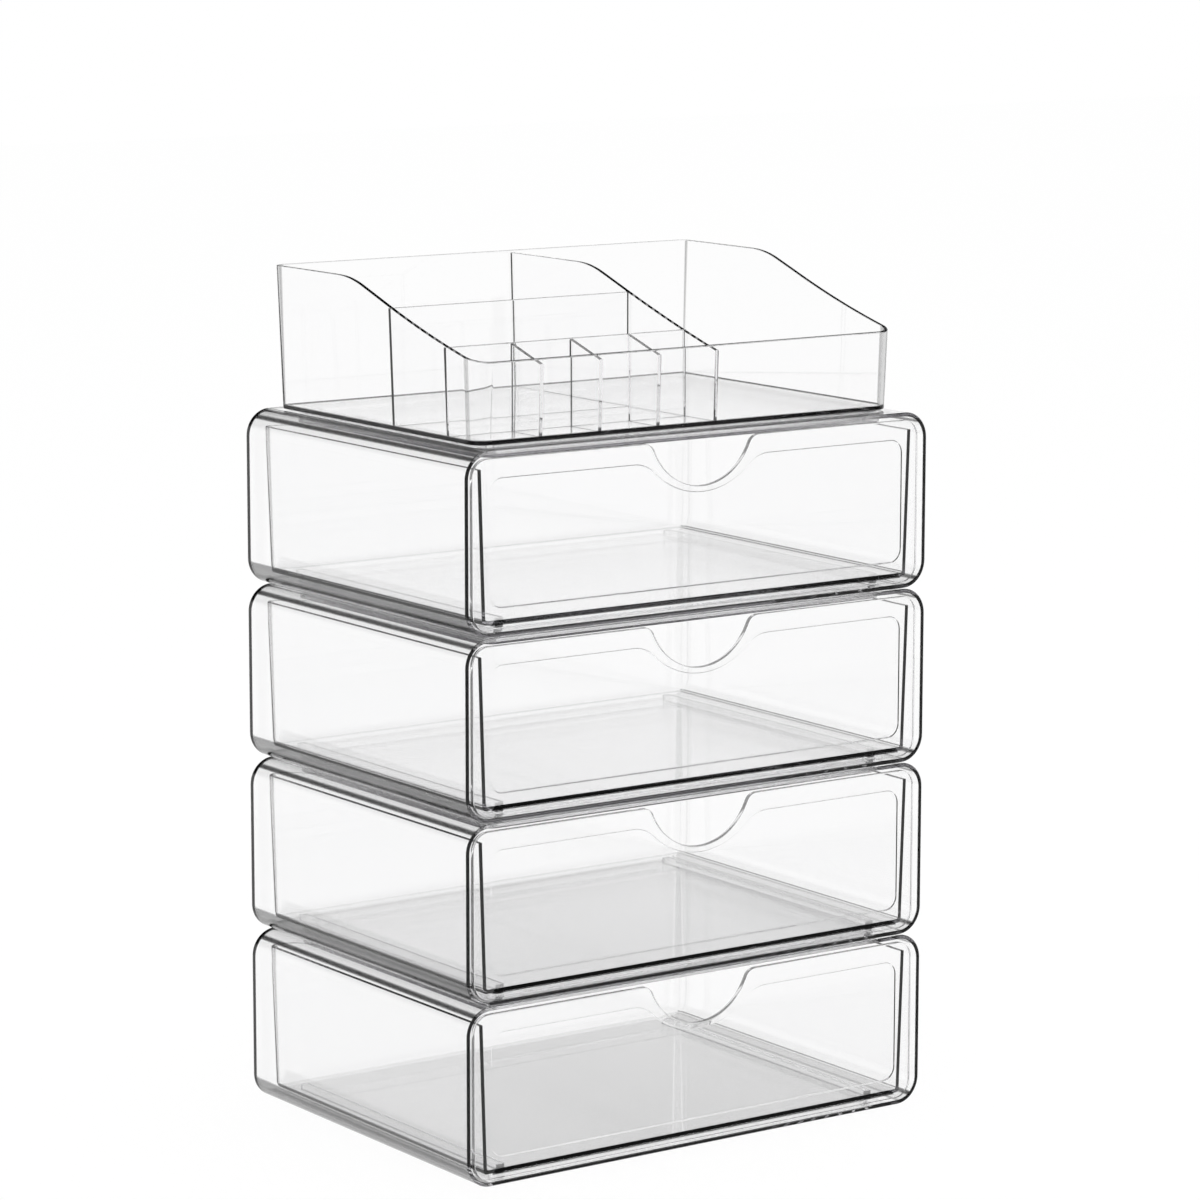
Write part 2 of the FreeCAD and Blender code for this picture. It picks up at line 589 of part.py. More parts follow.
def make_tray():
    """Build the compartment tray; its frame stands on its foot in the top case's sunk top."""
    body = new_body("organiser_tray", pitch * UNITS)
    draft = sizes["tray_draft"]
    tilt = draft.slope()
    low = foot_height
    height = sizes["tray_height"]
    lean = wall * tilt

    outside = new_sketch(body, "walls", "XY_Plane", low)
    rectangle(outside, "walls", -tray_half_width, tray_half_width,
              -tray_front, tray_back, sizes["tray_round"], sizes["tray_back_round"])
    grow(body, outside, "walls_pad", height, taper=draft)
    bevel_edges(body, "base_edge", sizes["tray_base_bevel"], on_plane("Z", low.value))

    inside = new_sketch(body, "room", "XY_Plane", low + wall)
    rectangle(inside, "room", wall - lean - tray_half_width,
              tray_half_width + lean - wall, wall - lean - tray_front,
              tray_back + lean - wall, sizes["tray_round"] - wall,
              sizes["tray_back_round"] - wall)
    cut(body, inside, "room_cut", height, taper=draft, against=True)

    # the side walls fall from the back to the lip of the front wall
    beyond = sizes["tray_round"]
    far_front = -(tray_front + beyond)
    far_back = tray_back + beyond
    sweep = new_sketch(body, "sweep", "YZ_Plane")
    tray_outline(sweep, "sweep", (far_front, far_front), (far_back, far_back),
                 low + height + beyond, ZERO)
    cut(body, sweep, "sweep_cut", sizes["case_width"], symmetric=True)

    # dividers end inside the thickness of the leaning walls they meet
    middle = wall / 2
    bed = low + middle
    drop = sizes["divider_drop"]

    def reach(half, level_above_base):
        """Return how far out the middle of a leaning wall stands at a height."""
        return half - middle + level_above_base * tilt

    lip = height - sizes["lip_drop"] - drop
    front_reach = (-reach(tray_front, lip), -reach(tray_front, middle))
    back_reach = (reach(tray_back, height - drop), reach(tray_back, middle))
    long_one = new_sketch(body, "long_divider", "YZ_Plane", sizes["bay_split"])
    tray_outline(long_one, "long", front_reach, back_reach, bed, drop)
    grow(body, long_one, "long_divider_pad", sizes["divider_thickness"], symmetric=True)

    cell_back = tray_front - sizes["cell_depth"]
    cell_high = height - sizes["lip_drop"] + sizes["cell_rise"]
    for tag, forward, tall in (
        ("rear", tray_front - sizes["bay_front"], height - sizes["bay_drop"]),
        ("front", cell_back, cell_high),
    ):
        cross = new_sketch(body, f"{tag}_row", "XZ_Plane", forward)
        panel(cross, tag, [(-reach(tray_half_width, middle), bed),
                           (sizes["bay_split"], bed), (sizes["bay_split"], low + tall),
                           (-reach(tray_half_width, tall), low + tall)])
        grow(body, cross, f"{tag}_row_pad", sizes["divider_thickness"], symmetric=True)

    for number in range(1, SMALL_CELLS):
        cell = new_sketch(body, f"cell_{number}", "YZ_Plane",
                          sizes["bay_split"] - sizes["cell_pitch"] * number)
        panel(cell, "cell", [(front_reach[1], bed), (-cell_back, bed),
                             (-cell_back, low + cell_high), (front_reach[0], low + lip)])
        grow(body, cell, f"cell_{number}_pad", sizes["divider_thickness"], symmetric=True)
    ring_foot(body)
    return body


bodies = []
for unit in range(UNITS):
    bodies.append(make_case(unit))
    bodies.append(make_drawer(unit))
bodies.append(make_tray())
doc.recompute()

for item in doc.Objects:
    if {"Invalid", "Error"} & set(item.State):
        raise RuntimeError(f"{item.Name}: {item.State}")
for body in bodies:
    shape = body.Shape
    if shape.isNull() or not shape.isValid() or len(shape.Solids) != 1:
        raise RuntimeError(f"{body.Label} is not one valid solid")
    shape.exportStep(f"parts/{body.Label}.step")
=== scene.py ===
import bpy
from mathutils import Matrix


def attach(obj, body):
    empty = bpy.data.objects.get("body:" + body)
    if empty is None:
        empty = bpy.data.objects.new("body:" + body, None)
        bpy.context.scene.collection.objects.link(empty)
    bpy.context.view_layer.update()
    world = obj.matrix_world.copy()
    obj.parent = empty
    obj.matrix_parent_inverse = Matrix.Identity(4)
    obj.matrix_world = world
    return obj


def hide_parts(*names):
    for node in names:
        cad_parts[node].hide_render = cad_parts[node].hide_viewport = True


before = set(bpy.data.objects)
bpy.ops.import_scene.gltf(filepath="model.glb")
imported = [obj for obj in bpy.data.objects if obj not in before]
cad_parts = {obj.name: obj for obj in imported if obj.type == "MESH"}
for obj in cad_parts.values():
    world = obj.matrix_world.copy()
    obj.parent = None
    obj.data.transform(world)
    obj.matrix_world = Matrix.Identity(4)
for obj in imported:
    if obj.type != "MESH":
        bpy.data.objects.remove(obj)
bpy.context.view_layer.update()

import logging
import math
from collections.abc import Sequence
from dataclasses import dataclass, field, fields
from enum import Enum, IntEnum

import bpy
import numpy as np
from mathutils import Matrix, Vector

LOG = logging.getLogger("vanity_organiser")
MM = 0.001
Array = np.ndarray
Socket = bpy.types.NodeSocket


class ShadeMark(IntEnum):
    """Which mark a face of a moulding takes: the shade painted on it, and how much light passes
    it unbent.

    A wall is flat and a bend is a round stretch of it, which takes a painted shade line where it
    leans. Rims are narrow free edges with a light painted shade, a pale one where light runs
    through and no shade is painted at its outline, and a lip is a rim with a darker painted
    shade.
    The base is the edge of a floor and the side base the same edge along a side, both painted
    near black, and the sole a case's low left bend, painted grey. Steps belong to the foot and
    the sunk top, and a corner is an upright bend with a painted shade.
    """

    WALL = 0
    BEND = 1
    RIM = 2
    BASE = 3
    STEP = 4
    LIP = 5
    SOLE = 6
    SEAM = 7
    CORNER = 8
    PALE = 9


@dataclass(frozen=True)
class Touch:
    """The painted shade of a kind of face, and how much light it passes unbent.

    Tone is its painted shade, a factor on the colour it lets through, and graze the painted
    shade that takes over where it is seen edge-on, slant how far its leaning parts take the
    painted shoulder line, and plain how much light it doesn't bend.
    """

    tone: float = 1.0
    graze: float = 0.35
    slant: float = 0.0
    plain: float = 0.0


# painted shade of each mark: its tones darken the plastic's colour in lines and bands
TOUCHES = {
    ShadeMark.WALL: Touch(),
    ShadeMark.BEND: Touch(slant=1.0),
    ShadeMark.RIM: Touch(tone=0.8, plain=0.3),
    ShadeMark.BASE: Touch(tone=0.04),
    ShadeMark.STEP: Touch(plain=0.5),
    ShadeMark.LIP: Touch(tone=0.35),
    ShadeMark.SOLE: Touch(tone=0.35, slant=1.0),
    ShadeMark.SEAM: Touch(tone=0.002),
    ShadeMark.CORNER: Touch(tone=0.45),
    ShadeMark.PALE: Touch(graze=1.0, plain=0.5),
}
# the direction that a corner with painted shade faces, or turns its back on, seen from above
FRONT_RIGHT = (0.816, -0.577)
# how much of an outward direction has to point to a side, for a stretch to be mainly or squarely
# on that side
MAINLY = 0.7
SQUARELY = 0.9
# faces that meet at more than this angle keep a sharp edge between them, in degrees
SHARP_ANGLE = 32.0


class Plane(Enum):
    """The plane that an outline is drawn in."""

    FLAT = "seen from above, carried up"
    UPRIGHT = "seen from the front, carried back"


class Run(Enum):
    """The way a fin runs."""

    ACROSS = "along X"
    BACKWARDS = "along Y"


class Join(Enum):
    """How one solid meets another."""

    ADD = "UNION"
    TAKE = "DIFFERENCE"


# ---------------------------------------------------------------------------------------------
# Curves and surfaces as whole arrays
# ---------------------------------------------------------------------------------------------
def bend(centre: Sequence[float], radius: float, first: float, last: float,
         count: int = 6) -> Array:
    """Work out a round corner: centre + radius * (cos a, sin a), a even between two angles.

    Args:
        centre: the corner's centre.
        radius: its radius.
        first: the angle it starts at, in degrees.
        last: the angle it ends at, in degrees.
        count: how many points it has.

    Returns:
        The points, one row each.
    """
    angle = np.radians(np.linspace(first, last, count))
    return np.asarray(centre) + radius * np.stack([np.cos(angle), np.sin(angle)], axis=-1)


@dataclass(frozen=True)
class Outline:
    """A closed flat outline: its points, the outward direction at each, and where it turns.

    Turning is true at each point that a round stretch leaves towards the next point.
    """

    points: Array
    outward: Array
    turning: Array

    @classmethod
    def rectangle(cls, left: float, right: float, low: float, high: float, radius: float,
                  steps: int = 10, along: int = 0, far: float | None = None) -> "Outline":
        """Draw a rectangle with four round corners, counter-clockwise.

        Each corner is its centre + radius * (cos a, sin a) over a quarter turn, and (cos a,
        sin a) is also the outward direction. The right and left sides can carry points of
        their own, evenly spaced, so that a curve can be cut into them later.

        Args:
            left: lowest first coordinate.
            right: highest first coordinate.
            low: lowest second coordinate.
            high: highest second coordinate.
            radius: corner radius.
            steps: points on each corner.
            along: points on each of the right and left sides.
            far: radius of the two corners at the high end, if it is another.

        Returns:
            The outline.
        """
        r, q = radius, radius if far is None else far
        turns = [bend((0, 0), 1.0, a, a + 90, steps) for a in (270, 0, 90, 180)]
        places = ((right - r, low + r), (right - q, high - q), (left + q, high - q),
                  (left + r, low + r))
        corners = [np.asarray(place) + size * turn
                   for place, size, turn in zip(places, (r, q, q, r), turns)]
        level = np.linspace(low + r, high - q, along + 2)[1:-1]
        side_r = np.stack([np.full(along, right), level], axis=-1)
        side_l = np.stack([np.full(along, left), level[::-1]], axis=-1)
        ahead = np.tile((1.0, 0.0), (along, 1))
        bow, straight = np.arange(steps) < steps - 1, np.zeros(along, dtype=bool)
        return cls(
            np.concatenate([corners[0], side_r, corners[1], corners[2], side_l, corners[3]]),
            np.concatenate([turns[0], ahead, turns[1], turns[2], -ahead, turns[3]]),
            np.concatenate([bow, straight, bow, bow, straight, bow]),
        )

    @classmethod
    def scooped(cls, half: float, low: float, high: float, radius: float, scoop: float,
                depth: float, shoulder: float, steps: int = 10) -> "Outline":
        """Draw a round-cornered rectangle whose top edge dips in a smooth scoop.

        The scoop is two shoulders, bowed up, and a bowl, bowed down, each tangent to the
        next: shoulder radius + bowl radius = (scoop^2 + depth^2) / (2 * depth), and both turn
        through the angle whose sine is scoop / that sum.

        Args:
            half: half width of the outline.
            low: height of its lower edge.
            high: height of its top edge.
            radius: corner radius.
            scoop: half width of the scoop at the top edge.
            depth: depth of the scoop.
            shoulder: shoulder radius.
            steps: points on each corner and shoulder.

        Returns:
            The outline, counter-clockwise.
        """
        r = radius
        reach = (scoop * scoop + depth * depth) / (2 * depth)
        bowl = reach - shoulder
        turn = math.degrees(math.asin(scoop / reach))
        unit = [bend((0, 0), 1.0, *angles) for angles in (
            (270, 360, steps), (0, 90, steps), (90, 90 + turn, steps),
            (270 + turn, 270 - turn, 4 * steps), (90 - turn, 90, steps), (90, 180, steps),
            (180, 270, steps),
        )]
        radii = (r, r, shoulder, bowl, shoulder, r, r)
        places = ((half - r, low + r), (half - r, high - r), (scoop, high - shoulder),
                  (0.0, high - depth + bowl), (-scoop, high - shoulder), (r - half, high - r),
                  (r - half, low + r))
        # the bowl is hollow, so its outward direction runs towards its centre
        sense = (1, 1, 1, -1, 1, 1, 1)
        # its ends are the shoulders' ends, so they are left out
        keep = [slice(1, -1) if way < 0 else slice(None) for way in sense]
        points = [np.asarray(p) + size * way for p, size, way in zip(places, radii, unit)]
        bow, scoop_bow = np.arange(steps) < steps - 1, np.ones(5 * steps - 2, dtype=bool)
        return cls(
            np.concatenate([p[cut] for p, cut in zip(points, keep)]),
            np.concatenate([s * way[cut] for s, way, cut in zip(sense, unit, keep)]),
            np.concatenate([bow, bow, scoop_bow, bow, bow, bow]),
        )

    def shade_marks(self, bands: Array, squarely: float | Array = 1.0) -> Array:
        """Give each band its shade mark, and round stretches of plain bands their own painted
        shade.

        Args:
            bands: the shade mark of each band along the profile.
            squarely: how much of a round stretch's outward direction has to point front right
                or back left to make it a corner with painted shade, for all points or for each of
                them; 1 makes none.

        Returns:
            The shade mark of each face, bands by points round the loop.
        """
        grid = np.broadcast_to(bands[:, None], (len(bands), len(self.turning)))
        cornered = np.abs(self.outward @ FRONT_RIGHT) > squarely
        turn = np.where(cornered, ShadeMark.CORNER, ShadeMark.BEND)
        return np.where((grid == ShadeMark.WALL) & self.turning[None], turn, grid)

    def carried(self, profile: Array, plane: Plane) -> Array:
        """Carry the outline along a profile of (outward offset, distance) rows.

        P(i, j) = outline point j + offset i * outward direction j, at distance i along the
        axis that stands on the outline's plane.

        Args:
            profile: one (offset, distance) row for each loop.
            plane: the plane of the outline.

        Returns:
            The grid of points, loops by points round the loop by three.
        """
        loops = self.points[None] + profile[:, :1, None] * self.outward[None]
        far = np.broadcast_to(profile[:, 1:2], loops.shape[:2])
        across, second = loops[..., 0], loops[..., 1]
        order = (across, second, far) if plane is Plane.FLAT else (across, far, second)
        return np.stack(order, axis=-1)


@dataclass(frozen=True)
class Form:
    """A closed surface: a grid of loops, open ends closed by flat caps.

    The shade mark of the band from loop i to the next, between points j and j + 1, stands at
    (i, j); one column serves the whole loop and one row serves every loop.
    """

    grid: Array
    shade_mark: Array
    ring: bool = False

    @classmethod
    def plain(cls, grid: Array, shade_mark: ShadeMark = ShadeMark.WALL) -> "Form":
        """Close a grid whose bands all take one shade mark."""
        return cls(grid, np.full((1, 1), shade_mark))

    def faces(self) -> tuple[Array, Array]:
        """Number the faces: quads between neighbouring loops, and the caps.

        Returns:
            The quads and the caps, turned so that they face outwards: the signed volume, the
            sum of a . (b x c) over all triangles, is made positive.
        """
        rows, around = self.grid.shape[:2]
        i = np.arange(rows if self.ring else rows - 1)[:, None]
        j = np.arange(around)[None]
        up, on = (i + 1) % rows, (j + 1) % around
        corners = (i * around + j, i * around + on, up * around + on, up * around + j)
        quads = np.stack(corners, axis=-1).reshape(-1, 4)
        last = (rows - 1) * around
        caps = np.arange(around)[None] + np.array([[0], [last]])
        caps[0] = caps[0][::-1]
        if self.ring:
            caps = caps[:0]
        points = self.grid.reshape(-1, 3)
        a, b, c, d = (points[quads[:, n]] for n in range(4))
        volume = np.sum(a * np.cross(b, c)) + np.sum(a * np.cross(c, d))
        for cap in caps:
            fan = points[cap]
            volume += np.sum(fan[0] * np.cross(fan[1:-1], fan[2:]))
        return (quads, caps) if volume > 0 else (quads[:, ::-1], caps[:, ::-1])

    def thing(self, name: str) -> bpy.types.Object:
        """Put the surface into a mesh object.

        Args:
            name: the object's name.

        Returns:
            The object, linked to the scene.
        """
        quads, caps = self.faces()
        mesh = bpy.data.meshes.new(name)
        mesh.from_pydata(self.grid.reshape(-1, 3) * MM, [], quads.tolist() + caps.tolist())
        marks = np.broadcast_to(self.shade_mark, self.grid.shape[:2])
        marks = (marks if self.ring else marks[:-1]).ravel()
        marks = np.concatenate([marks, np.full(len(caps), ShadeMark.WALL)])
        mesh.polygons.foreach_set("material_index", marks.astype(np.int32))
        thing = bpy.data.objects.new(name, mesh)
        bpy.context.scene.collection.objects.link(thing)
        return thing


def fin(foot: Array, head: Array, place: float, thickness: float, run: Run,
        softness: float = 0.35) -> Form:
    """Raise a thin upright fin with a softened top edge.

    The fin is ruled between a foot line and a head line: P(i, j) = foot i + s j * (head i -
    foot i), where s is 0 on the foot and 1 on the head, and each side stands half the
    thickness off the place. The two top corners are quarter turns of the softness.

    Args:
        foot: (distance, height) rows of the foot line.
        head: (distance, height) rows of the head line, as many.
        place: where the fin stands, across its run.
        thickness: its thickness.
        run: the way it runs.
        softness: radius of the two top corners.

    Returns:
        The closed fin.
    """
    half = thickness / 2
    right = bend((half - softness, -softness), softness, 0, 90)
    left = bend((softness - half, -softness), softness, 90, 180)
    section = np.concatenate([[[-half, 0.0], [half, 0.0]], right, left])
    share = np.concatenate([[0.0, 0.0], np.ones(len(right) + len(left))])
    line = foot[:, None] + share[None, :, None] * (head - foot)[:, None]
    height = line[..., 1] + section[None, :, 1]
    off = np.broadcast_to(place + section[None, :, 0], height.shape)
    order = (line[..., 0], off, height) if run is Run.ACROSS else (off, line[..., 0], height)
    # painted shade: the softened top edge takes the rim's light tone
    shade_mark = np.where(np.roll(share, -1) * share > 0, ShadeMark.RIM, ShadeMark.WALL)
    return Form(np.stack(order, axis=-1), shade_mark[None])


def touch_faces(mesh: bpy.types.Mesh) -> None:
    """Write each face's painted shade and unbent share, one attribute for each part of a touch.

    Args:
        mesh: the mesh, whose material numbers are its faces' shade marks and are cleared.
    """
    marks = np.empty(len(mesh.polygons), dtype=np.int32)
    mesh.polygons.foreach_get("material_index", marks)
    mesh.polygons.foreach_set("material_index", np.zeros_like(marks))
    for part in fields(Touch):
        levels = [getattr(TOUCHES[shade_mark], part.name) for shade_mark in ShadeMark]
        table = np.array(levels, dtype=np.float32)
        mesh.attributes.new(part.name, "FLOAT", "FACE").data.foreach_set("value", table[marks])


def combined(name: str, base: Form, steps: Sequence[tuple[Join, Form]]) -> bpy.types.Mesh:
    """Join closed solids into one closed mesh.

    Args:
        name: the mesh's name.
        base: the first solid.
        steps: what is added to it or taken from it, in order.

    Returns:
        The joined mesh, with smooth faces and its real corners kept sharp.
    """
    trunk = base.thing(f"{name}_base")
    tools = [form.thing(f"{name}_tool_{n}") for n, (_, form) in enumerate(steps)]
    for (join, _), tool in zip(steps, tools):
        step = trunk.modifiers.new(tool.name, "BOOLEAN")
        step.operation = join.value
        step.object = tool
        step.solver = "EXACT"
        step.material_mode = "INDEX"
    graph = bpy.context.evaluated_depsgraph_get()
    mesh = bpy.data.meshes.new_from_object(trunk.evaluated_get(graph), depsgraph=graph)
    mesh.name = name
    for thing in [trunk, *tools]:
        data = thing.data
        bpy.data.objects.remove(thing)
        bpy.data.meshes.remove(data)
    mesh.polygons.foreach_set("use_smooth", np.ones(len(mesh.polygons), dtype=bool))
    mesh.set_sharp_from_angle(angle=math.radians(SHARP_ANGLE))
    touch_faces(mesh)
    return mesh


def raised(mesh: bpy.types.Mesh, name: str, lift: float) -> bpy.types.Object:
    """Stand a copy of a mesh at a height, with its place in the mesh itself.

    Args:
        mesh: the mesh, made on the ground.
        name: the new object's name.
        lift: how far up it goes, in millimetres.

    Returns:
        The object, at the origin, with its flat faces shaded flat.
    """
    copy = mesh.copy()
    copy.name = name
    places = np.empty(len(copy.vertices) * 3)
    copy.vertices.foreach_get("co", places)
    places.reshape(-1, 3)[:, 2] += lift * MM
    copy.vertices.foreach_set("co", places)
    copy.update()
    thing = bpy.data.objects.new(name, copy)
    bpy.context.scene.collection.objects.link(thing)
    flat = thing.modifiers.new("flat_faces", "WEIGHTED_NORMAL")
    flat.keep_sharp = True
    return thing


# ---------------------------------------------------------------------------------------------
# Sub-assemblies
# ---------------------------------------------------------------------------------------------
@dataclass(frozen=True)
class Stack:
    """What every unit shares: the case's outside, the wall and the fit of foot and sunk top."""

    width: float = 250.0
    depth: float = 179.0
    height: float = 79.9
    wall: float = 1.8
    gap: float = 0.5
    seat_depth: float = 3.0
    seat_side: float = 18.8
    seat_front: float = 11.0
    seat_back: float = 17.0
    seat_round: float = 4.0
    foot_play: float = 0.5
    foot_softness: float = 0.3

    @property
    def foot(self) -> float:
        """Height of a ring foot below the unit it carries."""
        return self.seat_depth + self.gap

    @property
    def pitch(self) -> float:
        """Distance from one case to the next."""
        return self.height + self.gap

    def seat(self) -> Outline:
        """Draw the sunk top's outline, seen from above.

        Returns:
            The outline, at the case's own place.
        """
        half = self.width / 2 - self.seat_side
        front, back = self.depth / 2 - self.seat_front, self.depth / 2 - self.seat_back
        return Outline.rectangle(-half, half, -front, back, self.seat_round)

    def ring_foot(self) -> Form:
        """Carry the sunk top's outline, less the play, round the section of the ring foot.

        Returns:
            The ring, its top buried in the floor that it carries.
        """
        play, soft = self.foot_play, self.foot_softness
        top = self.foot + self.wall / 2
        section = np.concatenate([
            [[-play, top], [-play, self.seat_depth]],
            bend((-play - soft, soft), soft, 360, 270, 4),
            bend((soft - play - self.wall, soft), soft, 270, 180, 4), [[-play - self.wall, top]],
        ])
        outline = self.seat()
        marks = np.full((len(section), len(outline.points)), ShadeMark.STEP)
        # painted shade: the foot's outer front face takes the lip's darker tone
        marks[0, outline.outward[:, 1] < -SQUARELY] = ShadeMark.LIP
        return Form(outline.carried(section, Plane.FLAT), marks, ring=True)


@dataclass
class Case:
    """An open-fronted case: a sleeve with a closed back, a sunk top and a ring foot."""

    stack: Stack
    round: float = 12.0
    rim_round: float = 0.45
    back_round: float = 1.2
    inner_round: float = 0.8
    # how far the edges with painted shade reach, as shares of their roundings
    rim_share: float = 0.3
    back_share: float = 0.9
    # how much a left bend has to point down to take the sole's painted grey
    sole_lean: float = 0.05

    def sleeve(self) -> Form:
        """Carry the case's front outline from the back, round the rim and into the room.

        Returns:
            The sleeve, closed at the back, with painted shade on its front rim, sole and lips.
        """
        s = self.stack
        y, rim, back, inner = s.depth / 2, self.rim_round, self.back_round, self.inner_round
        profile = np.concatenate([
            bend((-back, y - back), back, 90, 0), bend((-rim, rim - y), rim, 0, -90),
            bend((rim - s.wall, rim - y), rim, 270, 180),
            bend((-s.wall - inner, y - s.wall - inner), inner, 0, 90),
        ])
        half = s.width / 2
        outline = Outline.rectangle(-half, half, s.foot, s.foot + s.height, self.round, 14)
        offset, place = profile.T
        middle = (place + np.roll(place, -1)) / 2
        rim_end = self.rim_share * rim - y
        marked = (middle < rim_end) | (middle > y - self.back_share * back)
        marked[-1] = False
        outside = offset > -s.wall
        marks = outline.shade_marks(np.where(marked & outside, ShadeMark.RIM, ShadeMark.WALL))
        side, rise = outline.outward.T
        # the edge is all of the front rounding, and the brow what the rim leaves of its outside
        edge = ((middle < rim - y) & outside)[:, None]
        brow = edge & ((middle > rim_end) & (offset > -rim))[:, None]
        # painted shade: a low left bend takes the sole's grey, the edge's sides stay pale, and
        # the edge's underside and the brow's top take the lip's darker tone
        sole = (marks == ShadeMark.BEND) & (side < 0) & (rise < -self.sole_lean)
        marks = np.where(sole, ShadeMark.SOLE, marks)
        pale = edge & (marks != ShadeMark.RIM) & (np.abs(side) > MAINLY)
        marks = np.where(pale, ShadeMark.PALE, marks)
        shaded = edge & (rise < -SQUARELY) | brow & (rise > SQUARELY)
        marks = np.where(shaded, ShadeMark.LIP, marks)
        return Form(outline.carried(profile, Plane.UPRIGHT), marks)

    def roof(self) -> Form:
        """Draw the slab that steps down under the sunk top.

        Returns:
            The slab, a wall wider than the sunk top and as far below it.
        """
        s = self.stack
        top = s.foot + s.height - s.wall / 2
        low = s.foot + s.height - s.wall - s.seat_depth
        soft = self.inner_round
        profile = np.concatenate([bend((s.wall - soft, low + soft), soft, 270, 360),
                                  [[s.wall, top]]])
        return Form.plain(s.seat().carried(profile, Plane.FLAT), ShadeMark.STEP)

    def seat(self) -> Form:
        """Draw the room that the sunk top takes out of the roof, with a soft upper edge.

        Returns:
            The room, which reaches out above the roof.
        """
        s = self.stack
        top, rim, soft = s.foot + s.height, self.rim_round, self.inner_round / 2
        # the rim's arc stops just short of level, and the room then rises through the roof
        profile = np.concatenate([
            bend((-soft, top - s.seat_depth + soft), soft, 270, 360, 4),
            bend((rim, top - rim), rim, 180, 93), [[rim - 0.02, top + 1.0]],
        ])
        return Form.plain(s.seat().carried(profile, Plane.FLAT), ShadeMark.STEP)

    def mesh(self) -> bpy.types.Mesh:
        """Join sleeve, roof, sunk top and foot.

        Returns:
            The case's mesh.
        """
        steps = [(Join.ADD, self.roof()), (Join.TAKE, self.seat()),
                 (Join.ADD, self.stack.ring_foot())]
        return combined("case", self.sleeve(), steps)


